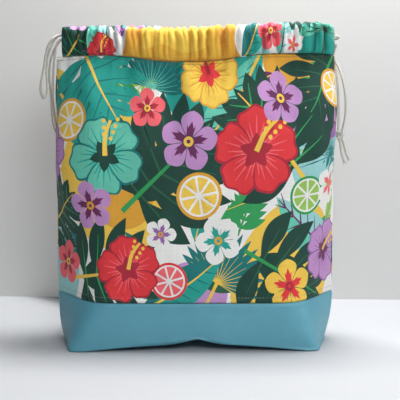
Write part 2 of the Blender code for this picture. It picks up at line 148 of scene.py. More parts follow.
def through(points, step):
    """Points at about the given step on a smooth curve through the route's points."""
    p = np.array(points, float)
    ext = np.vstack([2 * p[0] - p[1], p, 2 * p[-1] - p[-2]])
    fine = []
    for i in range(1, len(ext) - 2):
        p0, p1, p2, p3 = ext[i - 1:i + 3]
        a, b, c = (max(float(np.linalg.norm(q - r)), 1e-6) ** 0.5 for q, r in ((p1, p0), (p2, p1), (p3, p2)))
        m1 = b * ((p1 - p0) / a - (p2 - p0) / (a + b) + (p2 - p1) / b)
        m2 = b * ((p2 - p1) / b - (p3 - p1) / (b + c) + (p3 - p2) / c)
        for k in range(24):
            t = k / 24.0
            fine.append((2 * t**3 - 3 * t**2 + 1) * p1 + (t**3 - 2 * t**2 + t) * m1
                        + (-2 * t**3 + 3 * t**2) * p2 + (t**3 - t**2) * m2)
    fine.append(ext[-2])
    fine = np.array(fine)
    run = np.concatenate([[0.0], np.cumsum(np.linalg.norm(np.diff(fine, axis=0), axis=1))])
    count = max(2, int(round(run[-1] / step)))
    at = np.linspace(0.0, run[-1], count + 1)
    return np.stack([np.interp(at, run, fine[:, k]) for k in range(3)], axis=1)


def frames(p):
    """Unit tangents and two carried normals along a path."""
    t = np.gradient(p, axis=0)
    t /= np.linalg.norm(t, axis=1)[:, None]
    n = np.zeros_like(p)
    ref = np.array([0.0, 0.0, 1.0]) if abs(t[0][2]) < 0.9 else np.array([1.0, 0.0, 0.0])
    v = ref - t[0] * ref.dot(t[0])
    n[0] = v / np.linalg.norm(v)
    for i in range(1, len(p)):
        v = n[i - 1] - t[i] * n[i - 1].dot(t[i])
        n[i] = v / max(np.linalg.norm(v), 1e-9)
    return t, n, np.cross(t, n)


def mesh_object(name, verts, faces, smooth=True):
    mesh = bpy.data.meshes.new(name)
    mesh.from_pydata([tuple(v) for v in np.asarray(verts) * MM], [], [tuple(int(i) for i in f) for f in faces])
    mesh.validate()
    if smooth:
        mesh.shade_smooth()
    ob = bpy.data.objects.new(name, mesh)
    bpy.context.scene.collection.objects.link(ob)
    return ob


def rope(points, radius, sides=12, plies=3, lay=5.6, phase=0.0, taper=0):
    """Vertices and faces of a laid cord: lobes that turn as they run along."""
    p = np.asarray(points, float)
    _, n, b = frames(p)
    run = np.concatenate([[0.0], np.cumsum(np.linalg.norm(np.diff(p, axis=0), axis=1))])
    ang = np.linspace(0, 2 * math.pi, sides, endpoint=False)
    verts = []
    for i in range(len(p)):
        turn = 2 * math.pi * run[i] / lay + phase
        lobe = np.abs(np.cos(plies * (ang - turn) / 2.0)) ** 0.75
        r = radius * (0.80 + 0.24 * lobe)
        if taper and i < taper:
            r = r * (0.55 + 0.45 * i / taper)
        if taper and len(p) - 1 - i < taper:
            r = r * (0.55 + 0.45 * (len(p) - 1 - i) / taper)
        verts.append(p[i] + np.outer(r * np.cos(ang), n[i]) + np.outer(r * np.sin(ang), b[i]))
    verts = np.vstack(verts)
    faces = []
    for i in range(len(p) - 1):
        for k in range(sides):
            k2 = (k + 1) % sides
            faces.append((i * sides + k, i * sides + k2, (i + 1) * sides + k2, (i + 1) * sides + k))
    first = len(verts)
    verts = np.vstack([verts, p[0], p[-1]])
    last_ring = (len(p) - 1) * sides
    for k in range(sides):
        k2 = (k + 1) % sides
        faces.append((first, k2, k))
        faces.append((first + 1, last_ring + k, last_ring + k2))
    return verts, faces


def merge(parts):
    verts, faces, base = [], [], 0
    for v, f in parts:
        verts.append(v)
        faces += [tuple(i + base for i in face) for face in f]
        base += len(v)
    return np.vstack(verts), faces


YL, YR = float(-casing_axis(CASING_X0, -1)), float(-casing_axis(CASING_X1, -1))
YLB, YRB = float(casing_axis(CASING_X0, 1)), float(casing_axis(CASING_X1, 1))

LEFT_BACK = ((-119.3, YLB + 0.8, 269.2), (-123.0, 10.3, 265.5), (-126.3, 11.0, 259.5), (-129.0, 11.2, 252.0),
             (-130.4, 11.4, 244.0), (-130.8, 12.0, 235.5), (-130.2, 13.0, 227.0), (-129.7, 14.8, 218.5),
             (-129.9, 17.0, 210.0), (-130.0, 19.6, 201.5), (-129.2, 22.6, 193.0), (-126.6, 26.6, 185.0), (-122.6, 30.4, 179.2))
LEFT_FRONT = ((-119.2, -YL - 0.5, 268.9), (-121.7, -YL - 0.3, 264.8), (-122.9, -8.2, 258.5), (-124.2, -6.0, 251.5),
              (-125.3, -2.5, 244.5), (-126.3, 1.5, 237.0), (-127.2, 5.8, 228.5), (-127.8, 10.0, 219.5),
              (-127.7, 13.4, 210.5), (-127.3, 16.6, 201.5), (-126.2, 20.2, 192.5), (-123.2, 25.0, 184.8), (-119.6, 28.6, 179.4))
LEFT_BIGHT = ((-119.5, -YL - 0.7, 273.6), (-124.5, -10.4, 270.8), (-128.6, -9.8, 265.0), (-131.0, -9.0, 257.0),
              (-132.6, -8.2, 248.0), (-134.8, -7.4, 238.0), (-136.4, -6.4, 229.5), (-136.4, -4.2, 222.6),
              (-134.5, 0.0, 218.4), (-132.4, 4.2, 222.3), (-132.0, 6.5, 230.0), (-132.6, 7.3, 240.0),
              (-132.0, 7.8, 251.0), (-129.4, 8.4, 261.0), (-126.0, 9.6, 268.6), (-121.0, YLB + 0.8, 273.0))
RIGHT_BACK = ((122.2, YRB + 0.3, 266.5), (124.2, YRB + 2.8, 265.4), (124.0, 11.6, 262.2), (123.2, 14.2, 256.6), (123.6, 14.0, 250.0),
              (124.8, 11.8, 242.5), (125.9, 9.2, 235.0), (126.5, 7.0, 227.0), (126.7, 5.6, 219.0),
              (126.9, 4.6, 211.0), (127.1, 3.8, 203.0), (127.2, 3.0, 195.5), (127.0, 2.0, 188.6))
RIGHT_FRONT = ((122.6, -YR + 1.6, 265.2), (122.7, 1.2, 263.0), (122.4, 6.0, 260.0), (122.3, 9.8, 256.0),
               (123.9, 10.6, 250.6), (126.8, 8.0, 245.8), (128.8, 5.2, 240.0), (130.7, 3.2, 232.5),
               (132.2, 2.0, 224.5), (133.0, 1.6, 216.5), (133.2, 1.6, 208.5), (132.7, 2.0, 201.0),
               (131.5, 2.8, 194.2), (129.8, 3.8, 188.4))
RIGHT_BIGHT = ((123.6, -YR + 1.0, 272.6), (125.6, 0.0, 271.4), (123.7, YRB - 0.9, 270.2))
LEFT_KNOT, RIGHT_KNOT = (-120.4, 30.2, 176.5), (128.2, 3.2, 185.2)
LEFT_TAILS = (((-121.2, 31.6, 175.6), (-121.6, 33.2, 169.8), (-120.8, 34.4, 164.2), (-120.2, 34.8, 157.8)),
              ((-118.9, 28.8, 175.8), (-117.7, 28.4, 169.8), (-117.5, 28.4, 164.0), (-116.6, 28.8, 158.4)))
RIGHT_TAILS = (((127.6, 2.0, 184.2), (128.7, 1.4, 178.9), (129.3, 1.2, 173.8), (130.2, 1.2, 168.6), (131.7, 1.2, 164.0)),
               ((129.0, 4.5, 184.4), (131.2, 5.0, 180.0), (132.8, 5.2, 175.0), (134.2, 5.2, 170.2), (135.7, 5.2, 165.8)))


def inside_run(side, z_left, z_right, shift, count=34):
    out = []
    for i in range(count + 1):
        t = 0.35 * i / count + 0.65 * (0.5 - 0.5 * math.cos(math.pi * i / count))
        x = CASING_X0 + (CASING_X1 - CASING_X0) * t
        z = z_left + (z_right - z_left) * (3 * t * t - 2 * t**3)
        out.append((x, float(casing_axis(x, side)) + shift * math.sin(math.pi * t) ** 0.8, z))
    return out


# =====================================================================  node helpers
def new_material(name):
    mat = bpy.data.materials.new(name)
    mat.use_nodes = True
    nt = mat.node_tree
    return mat, nt, nt.nodes["Principled BSDF"]


def node(nt, kind, **values):
    n = nt.nodes.new(kind)
    for key, value in values.items():
        if key in n.inputs:
            n.inputs[key].default_value = value
        else:
            setattr(n, key, value)
    return n


def noise(nt, vec, scale, detail=3.0, rough=0.5):
    n = node(nt, "ShaderNodeTexNoise")
    n.inputs["Scale"].default_value = scale
    n.inputs["Detail"].default_value = detail
    n.inputs["Roughness"].default_value = rough
    if vec is not None:
        nt.links.new(vec, n.inputs["Vector"])
    return n.outputs["Fac"]


def math_node(nt, op, a, b=None, c=None, clamp=False):
    n = nt.nodes.new("ShaderNodeMath")
    n.operation = op
    n.use_clamp = clamp
    for slot, value in zip(n.inputs, (a, b, c)):
        if value is None:
            continue
        if isinstance(value, (int, float)):
            slot.default_value = value
        else:
            nt.links.new(value, slot)
    return n.outputs[0]


def map_range(nt, value, a, b, c, d):
    n = nt.nodes.new("ShaderNodeMapRange")
    nt.links.new(value, n.inputs["Value"])
    for key, v in zip(("From Min", "From Max", "To Min", "To Max"), (a, b, c, d)):
        n.inputs[key].default_value = v
    return n.outputs["Result"]


def mix_colour(nt, fac, a, b, blend="MIX"):
    n = nt.nodes.new("ShaderNodeMix")
    n.data_type = "RGBA"
    n.blend_type = blend
    for slot, value in ((n.inputs[0], fac), (n.inputs[6], a), (n.inputs[7], b)):
        if isinstance(value, (int, float)):
            slot.default_value = value
        elif isinstance(value, tuple):
            slot.default_value = (*value, 1.0) if len(value) == 3 else value
        else:
            nt.links.new(value, slot)
    return n.outputs[2]


def bump(nt, bsdf, height, strength, distance, below=None):
    n = nt.nodes.new("ShaderNodeBump")
    n.inputs["Strength"].default_value = strength
    n.inputs["Distance"].default_value = distance
    nt.links.new(height, n.inputs["Height"])
    if below is not None:
        nt.links.new(below, n.inputs["Normal"])
    nt.links.new(n.outputs["Normal"], bsdf.inputs["Normal"])
    return n.outputs["Normal"]


def weave(nt, pitch_mm, uv_name="flat"):
    """Height of a plain weave in the cloth's own flat coordinates, which are in metres."""
    uv = node(nt, "ShaderNodeUVMap")
    uv.uv_map = uv_name
    wobble = nt.nodes.new("ShaderNodeTexNoise")
    wobble.inputs["Scale"].default_value = 190.0
    wobble.inputs["Detail"].default_value = 2.0
    nt.links.new(uv.outputs["UV"], wobble.inputs["Vector"])
    sep = nt.nodes.new("ShaderNodeSeparateXYZ")
    nt.links.new(uv.outputs["UV"], sep.inputs[0])
    k = 2 * math.pi / (pitch_mm * MM)
    drift = math_node(nt, "MULTIPLY", wobble.outputs["Fac"], 2.4)
    wu = math_node(nt, "SINE", math_node(nt, "ADD", math_node(nt, "MULTIPLY", sep.outputs[0], k), drift))
    wv = math_node(nt, "SINE", math_node(nt, "ADD", math_node(nt, "MULTIPLY", sep.outputs[1], k), drift))
    cross = math_node(nt, "MULTIPLY", wu, wv)
    weft = math_node(nt, "MULTIPLY", math_node(nt, "ABSOLUTE", wv), 0.35)
    return math_node(nt, "ADD", cross, weft), uv.outputs["UV"]


def slub(nt, uv):
    """Slightly thicker threads here and there, along and across."""
    out = []
    for stretch in ((14.0, 900.0, 1.0), (900.0, 14.0, 1.0)):
        m = nt.nodes.new("ShaderNodeMapping")
        m.inputs["Scale"].default_value = stretch
        nt.links.new(uv, m.inputs["Vector"])
        out.append(noise(nt, m.outputs[0], 1.0, 2.0, 0.6))
    return math_node(nt, "MULTIPLY", math_node(nt, "ADD", out[0], out[1]), 0.5)


def print_material(name):
    mat, nt, bsdf = new_material(name)
    height, uv = weave(nt, 0.62)
    threads = slub(nt, uv)
    ink = nt.nodes.new("ShaderNodeVertexColor")
    ink.layer_name = "ink"
    geo = nt.nodes.new("ShaderNodeTexCoord")
    broad = noise(nt, geo.outputs["Object"], 22.0, 4.0, 0.55)
    fine = noise(nt, uv, 520.0, 3.0, 0.6)
    tone = math_node(nt, "ADD", math_node(nt, "MULTIPLY", map_range(nt, threads, 0.35, 0.65, -1.0, 1.0), 0.055),
                     math_node(nt, "MULTIPLY", map_range(nt, broad, 0.3, 0.7, -1.0, 1.0), 0.035))
    tone = math_node(nt, "ADD", tone, math_node(nt, "MULTIPLY", map_range(nt, fine, 0.3, 0.7, -1.0, 1.0), 0.03))
    # painted shade: the weave's height darkens the colour a little in the hollows between threads
    tone = math_node(nt, "ADD", tone, math_node(nt, "MULTIPLY", height, 0.03))
    tone = math_node(nt, "ADD", tone, 0.93)
    hsv = nt.nodes.new("ShaderNodeHueSaturation")
    nt.links.new(ink.outputs["Color"], hsv.inputs["Color"])
    nt.links.new(tone, hsv.inputs["Value"])
    hsv.inputs["Saturation"].default_value = 0.97
    nt.links.new(hsv.outputs["Color"], bsdf.inputs["Base Color"])
    rough = map_range(nt, threads, 0.3, 0.7, 0.66, 0.80)
    nt.links.new(rough, bsdf.inputs["Roughness"])
    bsdf.inputs["Specular IOR Level"].default_value = 0.32
    bsdf.inputs["Sheen Weight"].default_value = 0.12
    bsdf.inputs["Sheen Roughness"].default_value = 0.45
    h = math_node(nt, "ADD", math_node(nt, "MULTIPLY", height, 0.5), math_node(nt, "MULTIPLY", threads, 1.6))
    first = bump(nt, bsdf, broad, 0.25, 0.0009)
    bump(nt, bsdf, h, 0.35, 0.00016, first)
    return mat


def plain_cotton(name, colour):
    mat, nt, bsdf = new_material(name)
    height, uv = weave(nt, 0.55)
    threads = slub(nt, uv)
    geo = nt.nodes.new("ShaderNodeTexCoord")
    broad = noise(nt, geo.outputs["Object"], 16.0, 4.0, 0.6)
    tone = math_node(nt, "ADD", math_node(nt, "MULTIPLY", threads, 0.25), math_node(nt, "MULTIPLY", broad, 0.2))
    tone = math_node(nt, "ADD", tone, 0.78)
    hsv = nt.nodes.new("ShaderNodeHueSaturation")
    hsv.inputs["Color"].default_value = (*colour, 1.0)
    nt.links.new(tone, hsv.inputs["Value"])
    nt.links.new(hsv.outputs["Color"], bsdf.inputs["Base Color"])
    nt.links.new(map_range(nt, threads, 0.3, 0.7, 0.78, 0.92), bsdf.inputs["Roughness"])
    bsdf.inputs["Sheen Weight"].default_value = 0.1
    h = math_node(nt, "ADD", math_node(nt, "MULTIPLY", height, 0.5), math_node(nt, "MULTIPLY", threads, 1.4))
    first = bump(nt, bsdf, broad, 0.4, 0.0016)
    bump(nt, bsdf, h, 0.4, 0.00016, first)
    return mat


def vinyl_material(name):
    mat, nt, bsdf = new_material(name)
    geo = nt.nodes.new("ShaderNodeTexCoord")
    at = geo.outputs["Object"]
    cells = nt.nodes.new("ShaderNodeTexVoronoi")
    cells.feature = "F1"
    cells.inputs["Scale"].default_value = 1150.0
    nt.links.new(at, cells.inputs["Vector"])
    pores = noise(nt, at, 2100.0, 2.0, 0.5)
    cloud = noise(nt, at, 14.0, 4.0, 0.55)
    mid = noise(nt, at, 120.0, 4.0, 0.6)
    base = mix_colour(nt, map_range(nt, cloud, 0.3, 0.7, 0.0, 1.0), lin(79, 145, 164), lin(92, 159, 177))
    base = mix_colour(nt, map_range(nt, mid, 0.35, 0.65, 0.0, 0.35), base, lin(83, 150, 168))
    nt.links.new(base, bsdf.inputs["Base Color"])
    nt.links.new(map_range(nt, mid, 0.3, 0.7, 0.42, 0.52), bsdf.inputs["Roughness"])
    bsdf.inputs["Specular IOR Level"].default_value = 0.5
    grain = math_node(nt, "ADD", math_node(nt, "MULTIPLY", cells.outputs["Distance"], 0.9), math_node(nt, "MULTIPLY", pores, 0.5))
    first = bump(nt, bsdf, cloud, 0.22, 0.0018)
    bump(nt, bsdf, grain, 0.22, 0.00018, first)
    return mat


def cord_material(name):
    mat, nt, bsdf = new_material(name)
    geo = nt.nodes.new("ShaderNodeTexCoord")
    at = geo.outputs["Object"]
    fibre = noise(nt, at, 1500.0, 4.0, 0.65)
    patch = noise(nt, at, 90.0, 3.0, 0.5)
    base = mix_colour(nt, map_range(nt, fibre, 0.3, 0.7, 0.0, 1.0), lin(152, 149, 140), lin(222, 219, 210))
    base = mix_colour(nt, map_range(nt, patch, 0.35, 0.65, 0.0, 0.4), base, lin(180, 177, 167))
    nt.links.new(base, bsdf.inputs["Base Color"])
    nt.links.new(map_range(nt, fibre, 0.3, 0.7, 0.75, 0.95), bsdf.inputs["Roughness"])
    bsdf.inputs["Sheen Weight"].default_value = 0.15
    bump(nt, bsdf, fibre, 0.6, 0.0003)
    return mat


def thread_material(name, colour):
    mat, nt, bsdf = new_material(name)
    geo = nt.nodes.new("ShaderNodeTexCoord")
    fibre = noise(nt, geo.outputs["Object"], 3200.0, 3.0, 0.6)
    dark = tuple(c * 0.7 for c in colour)
    nt.links.new(mix_colour(nt, map_range(nt, fibre, 0.3, 0.7, 0.0, 1.0), dark, colour), bsdf.inputs["Base Color"])
    nt.links.new(map_range(nt, fibre, 0.3, 0.7, 0.5, 0.7), bsdf.inputs["Roughness"])
    bump(nt, bsdf, fibre, 0.5, 0.0001)
    return mat


CORD_MAT = cord_material("cord_twist")
PRINT_MAT = print_material("print_cotton")
LINING_MAT = plain_cotton("lining_cotton", lin(214, 208, 194))
VINYL_MAT = vinyl_material("vinyl")

# ---------------------------------------------------------------- cord pieces


def cord_piece(name, points, node_name, phase=0.0, step=0.75):
    path = through(points, step)
    verts, faces = rope(path, CORD_D / 2, phase=phase)
    ob = mesh_object(name, verts, faces)
    ob.data.materials.append(CORD_MAT)
    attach(ob, "root")
    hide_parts(node_name)
    return ob, path


def frayed(end, direction, seed, count=9, length=4.6):
    """Loose yarns at a cut end, each a thin tapering tube."""
    rng = np.random.default_rng(seed)
    parts = []
    d = np.asarray(direction, float)
    d /= np.linalg.norm(d)
    side = np.cross(d, (0.3, 1.0, 0.2))
    side /= np.linalg.norm(side)
    other = np.cross(d, side)
    for i in range(count):
        a = 2 * math.pi * i / count + rng.uniform(-0.3, 0.3)
        out = side * math.cos(a) + other * math.sin(a)
        far = length * rng.uniform(0.6, 1.1)
        spread_ = rng.uniform(0.5, 1.5)
        p0 = end + out * 0.55 - d * 0.8
        p1 = end + out * (0.6 + 0.3 * spread_) + d * far * 0.45
        p2 = end + out * (0.6 + spread_) + d * far + np.array([0, 0, -0.4])
        parts.append(rope(through((p0, p1, p2), 0.8), 0.24, sides=6, plies=1, lay=9.0, taper=2))
    return parts


def knot_piece(name, centre, tails, node_name, turn, seeds):
    t = np.linspace(0, 2 * math.pi, 97)[:-1]
    a = 1.18
    loop = np.stack([a * (np.sin(t) + 2 * np.sin(2 * t)), -1.45 * np.sin(3 * t), 1.3 * a * (np.cos(t) - 2 * np.cos(2 * t))], axis=1)
    c, s = math.cos(turn), math.sin(turn)
    loop = loop @ np.array([[c, s, 0], [-s, c, 0], [0, 0, 1]])
    loop = loop + np.array(centre)
    closed = np.vstack([loop, loop[:2]])
    parts = [rope(closed, CORD_D / 2 * 0.98, sides=10, lay=5.0)]
    for tail, seed in zip(tails, seeds):
        path = through(tail, 0.75)
        parts.append(rope(path, CORD_D / 2, phase=seed, taper=0))
        parts += frayed(path[-1], path[-1] - path[-4], seed)
    verts, faces = merge(parts)
    ob = mesh_object(name, verts, faces)
    ob.data.materials.append(CORD_MAT)
    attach(ob, "root")
    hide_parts(node_name)
    return ob


knot_left = knot_piece("knot_left", LEFT_KNOT, LEFT_TAILS, "drawcord_left", 0.7, (3, 4))
knot_right = knot_piece("knot_right", RIGHT_KNOT, RIGHT_TAILS, "drawcord_right", 0.25, (5, 6))


def free_cord(name, exit_mm, stretch, node_name, phase):
    points = (exit_mm,) + tuple(stretch)
    ob, path = cord_piece(name, points, node_name, phase)
    return ob


def knot_end(stretch, centre):
    """The strand runs on into its knot."""
    return tuple(stretch) + ((0.45 * stretch[-1][0] + 0.55 * centre[0], 0.45 * stretch[-1][1] + 0.55 * centre[1], 0.35 * stretch[-1][2] + 0.65 * (centre[2] + 3.0)),)


free_cord("cord_left_back", (CASING_X0, YLB, 269.7), knot_end(LEFT_BACK, LEFT_KNOT), "drawcord_left", 0.0)
free_cord("cord_left_front", (CASING_X0, -YL, 269.7), knot_end(LEFT_FRONT, LEFT_KNOT), "drawcord_left", 1.0)
free_cord("cord_left_bight", (CASING_X0, -YL, 273.6), LEFT_BIGHT + ((CASING_X0, YLB, 273.6),), "drawcord_right", 2.0)
free_cord("cord_right_back", (CASING_X1, YRB, 266.2), knot_end(RIGHT_BACK, RIGHT_KNOT), "drawcord_right", 0.5)
free_cord("cord_right_front", (CASING_X1, -YR, 266.2), knot_end(RIGHT_FRONT, RIGHT_KNOT), "drawcord_right", 1.5)

# the stretches that the casings hold
held_left = (inside_run(1, 269.7, 270.0, 1.15) + list(((CASING_X1, YRB, 270.0),) + RIGHT_BIGHT[::-1] + ((CASING_X1, -YR, 272.8),))[1:-1]
             + inside_run(-1, 269.7, 272.8, 1.15)[::-1])
cord_piece("cord_in_casings_left", held_left, "drawcord_left", 0.3, 1.2)
cord_piece("cord_in_front_casing_right", inside_run(-1, 273.6, 266.2, -1.15), "drawcord_right", 0.8, 1.2)
cord_piece("cord_in_back_casing_right", inside_run(1, 273.6, 266.2, -1.15), "drawcord_right", 1.8, 1.2)


# =====================================================================  body surface
ZS = np.arange(-1.0, 292.0, 1.0)
US = np.linspace(0.0, 1.0, 801)


def by_length(x, y, count=1201):
    run = np.concatenate([[0.0], np.cumsum(np.hypot(np.diff(x), np.diff(y)))])
    at = np.linspace(0.0, run[-1], count)
    return np.interp(at, run, x), np.interp(at, run, y)


def box_half(z, side):
    """Half of the box section below: a straight face between two rounded bends, and
    an end face from each bend out to its side seam."""
    left, right, bend_l, bend_r, front, back, rounding, bulge = hermite(BOX, z)
    d = front if side < 0 else back
    x, y = [], []
    for k, (seam, bend, sign) in enumerate(((left, bend_l, -1.0), (right, bend_r, 1.0))):
        f = np.linspace(0.0, 1.0, 120)
        length = math.hypot(seam - bend, d)
        out = bulge * np.sin(math.pi * f)
        ex = seam + (bend - seam) * f + out * d / length
        ey = d * f + out * (seam - bend) / length
        if k == 0:
            x, y = list(sign * ex), list(ey)
        else:
            x += list(sign * ex[::-1])
            y += list(ey[::-1])
    x, y = by_length(np.array(x), np.array(y))
    step = math.hypot(x[1] - x[0], y[1] - y[0])
    w = max(1, int(round(rounding / step)))
    for _ in range(2):
        for v in (x, y):
            ext = np.concatenate([2 * v[0] - v[w:0:-1], v, 2 * v[-1] - v[-2:-w - 2:-1]])
            total = np.concatenate([[0.0], np.cumsum(ext)])
            v[:] = (total[2 * w + 1:] - total[:-2 * w - 1]) / (2 * w + 1)
    w = max(1, int(round(SEAM_ROUND / step)))
    for v, mirror in ((x, 1.0), (y, -1.0)):     # the side seams are creases with a small radius
        ext = np.concatenate([mirror * v[w:0:-1], v, mirror * v[-2:-w - 2:-1]])
        total = np.concatenate([[0.0], np.cumsum(ext)])
        v[:] = (total[2 * w + 1:] - total[:-2 * w - 1]) / (2 * w + 1)
    return by_length(x, side * y)


def tube_half(z, side):
    """Half of the flattened tube's section above."""
    left, right, front, back, n = hermite(SECTIONS, z)
    phi = np.linspace(math.pi, 0.0, 1441)
    c, s = np.cos(phi), np.sin(phi)
    a = np.where(c < 0, left, right)
    b = front if side < 0 else back
    r = (np.abs(c / a) ** n + np.abs(s / b) ** n) ** (-1.0 / n)
    return by_length(r * c, side * r * s)


def section_table(side):
    xs, ys = [], []
    for z in ZS:
        k = min(max((z - BOX_TO) / (ROUND_FROM - BOX_TO), 0.0), 1.0)
        k = k * k * (3.0 - 2.0 * k)
        if k <= 0.0:
            x, y = box_half(z, side)
        elif k >= 1.0:
            x, y = tube_half(z, side)
        else:
            (xa, ya), (xb, yb) = box_half(z, side), tube_half(z, side)
            x, y = by_length(xa + (xb - xa) * k, ya + (yb - ya) * k)
        y = y + x * SKEW * max(0.0, 1.0 - z / 110.0) ** 1.5
        share = np.linspace(0.0, 1.0, len(x))
        xs.append(np.interp(US, share, x))
        ys.append(np.interp(US, share, y))
    return np.array(xs), np.array(ys)


TABLES = {-1: section_table(-1), 1: section_table(1)}


def skin(u, z, side):
    """x and y of the outer skin at share u of the half girth and height z, in mm."""
    X, Y = TABLES[side]
    fu = np.clip(np.asarray(u, float), 0.0, 1.0) * (len(US) - 1)
    fz = np.clip(np.asarray(z, float) - ZS[0], 0.0, len(ZS) - 1.001)
    iu = np.minimum(fu.astype(int), len(US) - 2)
    iz = fz.astype(int)
    tu, tz = fu - iu, fz - iz

    def read(T):
        return ((T[iz, iu] * (1 - tu) + T[iz, iu + 1] * tu) * (1 - tz)
                + (T[iz + 1, iu] * (1 - tu) + T[iz + 1, iu + 1] * tu) * tz)

    return read(X), read(Y)


def skin_normal(u, z, side):
    """Outward unit normal of the outer skin."""
    e = 0.004
    x0, y0 = skin(np.clip(u - e, 0, 1), z, side)
    x1, y1 = skin(np.clip(u + e, 0, 1), z, side)
    tx, ty = x1 - x0, y1 - y0
    q = np.hypot(tx, ty) + 1e-9
    tx, ty = tx / q, ty / q
    nx, ny = (ty, -tx) if side < 0 else (-ty, tx)
    xa, ya = skin(u, z - 1.5, side)
    xb, yb = skin(u, z + 1.5, side)
    slope = ((xb - xa) * nx + (yb - ya) * ny) / 3.0
    q = np.sqrt(1 + slope**2)
    return nx / q, ny / q, -slope / q


def seam_z(x):
    return SEAM_Z - 1.3 * (1.0 - np.minimum(1.0, np.abs(x) / 112.0) ** 4)


def casing_z(x, side):
    if side < 0:
        return 257.2 - 6.0 * np.exp(-(np.abs(x + 6.0) / 45.0) ** 3) + 0.010 * x - 2.4 * (np.abs(x) / 122.0) ** 10
    return 256.0 - 2.5 * np.exp(-(np.abs(x - 8.0) / 60.0) ** 2) - 1.6 * (np.abs(x) / 122.0) ** 10


def rim_z(x, side):
    if side < 0:
        return (282.6 + 0.012 * x - 2.4 * np.exp(-((x + 18.0) / 42.0) ** 2) + 1.6 * np.exp(-((x - 82.0) / 30.0) ** 2)
                - 3.4 * np.maximum(0.0, (x - 108.0) / 13.0) ** 2)
    return 281.2 - 1.6 * np.exp(-((x - 10.0) / 60.0) ** 2)


def arch(x):
    rise = BASE_NOTCH * np.exp(-(np.abs(x - 0.8) / 14.5) ** 1.6) + BASE_ARCH * np.maximum(0.0, 1.0 - (x / FLAT_X) ** 2) ** 1.1
    return np.where(np.abs(x) < FLAT_X, rise, 0.0)


def waves(x, y, seed, count=9, lo=25.0, hi=90.0):
    """Smooth uneven field of soft waves, about -1 to 1, wavelengths from lo to hi mm."""
    rng = np.random.default_rng(seed)
    out = np.zeros_like(np.asarray(x, float) + np.asarray(y, float))
    for _ in range(count):
        wave = rng.uniform(lo, hi)
        a = rng.uniform(0, math.pi)
        out = out + np.sin(2 * math.pi * (x * math.cos(a) + y * math.sin(a)) / wave + rng.uniform(0, 6.28))
    return out / math.sqrt(count)


# ---------------------------------------------------------------- gathers
class Gathers:
    """Uneven pleats along x. value(x, drift) is 1 on a ridge and 0 in a valley."""

    def __init__(self, seed, lo, hi, x0=-130.0, x1=130.0):
        rng = np.random.default_rng(seed)
        at, x = [], x0
        while x < x1:
            at.append(x)
            x += rng.uniform(lo, hi)
        self.at = np.array(at)
        self.depth = rng.uniform(0.45, 1.0, len(at))
        self.height = rng.uniform(0.7, 1.0, len(at))

    def value(self, x, power=0.75):
        i = np.clip(np.searchsorted(self.at, x) - 1, 0, len(self.at) - 2)
        w = self.at[i + 1] - self.at[i]
        t = np.clip((x - self.at[i]) / w, 0, 1)
        valley = 1.0 - (self.depth[i] * (1 - t) + self.depth[i + 1] * t)
        hill = np.sin(math.pi * t) ** power * self.height[i]
        return valley * (1 - np.sin(math.pi * t)) * 0.5 + hill


GATHER = {-1: Gathers(11, 5.5, 15.0), 1: Gathers(23, 5.5, 15.0)}
GATHER2 = {-1: Gathers(31, 4.0, 8.0), 1: Gathers(37, 4.0, 8.0)}


def folds(x, drop, side):
    """Soft folds that run down from the gathered edge; drop is the distance below it."""
    rng = np.random.default_rng(7 if side < 0 else 8)
    out = np.zeros_like(x)
    for _ in range(30):
        xi = rng.uniform(-118, 118)
        a = rng.uniform(0.35, 1.25) * (1 if rng.random() < 0.45 else -1)
        w = rng.uniform(2.6, 6.5)
        length = rng.uniform(14.0, 58.0)
        slant = rng.uniform(-0.12, 0.12)
        out += a * np.exp(-((x - xi - slant * drop) / (w + drop * 0.07)) ** 2) * np.exp(-(drop / length) ** 1.4)
    long_folds = (((-92, 2.0, 9, 120, 0.05), (-64, -1.9, 8, 80, -0.05), (-22, -2.8, 8.5, 62, 0.02), (-8, 2.2, 8, 54, 0.0), (24, -1.5, 9, 90, 0.06),
                   (58, 1.6, 10, 110, -0.04), (84, -2.3, 9, 95, 0.03), (104, 1.9, 8, 120, -0.03)) if side < 0
                  else ((-95, -1.9, 9, 100, 0.03), (-50, 1.6, 10, 90, 0.05), (-18, -2.0, 9, 75, -0.03), (30, 1.7, 9, 80, 0.0), (70, -2.1, 10, 110, 0.04), (101, 1.4, 8, 90, 0.0)))
    for xi, a, w, length, slant in long_folds:
        out += a * np.exp(-((x - xi - slant * drop) / (w + drop * 0.06)) ** 2) * np.exp(-(drop / length) ** 2.2)
    return out


FLAT_W = 312.0
PANEL_H = 213.0
STITCH_UP = 4.6        # topstitch above the vinyl
STITCH_DOWN = 2.3      # topstitch under the casing


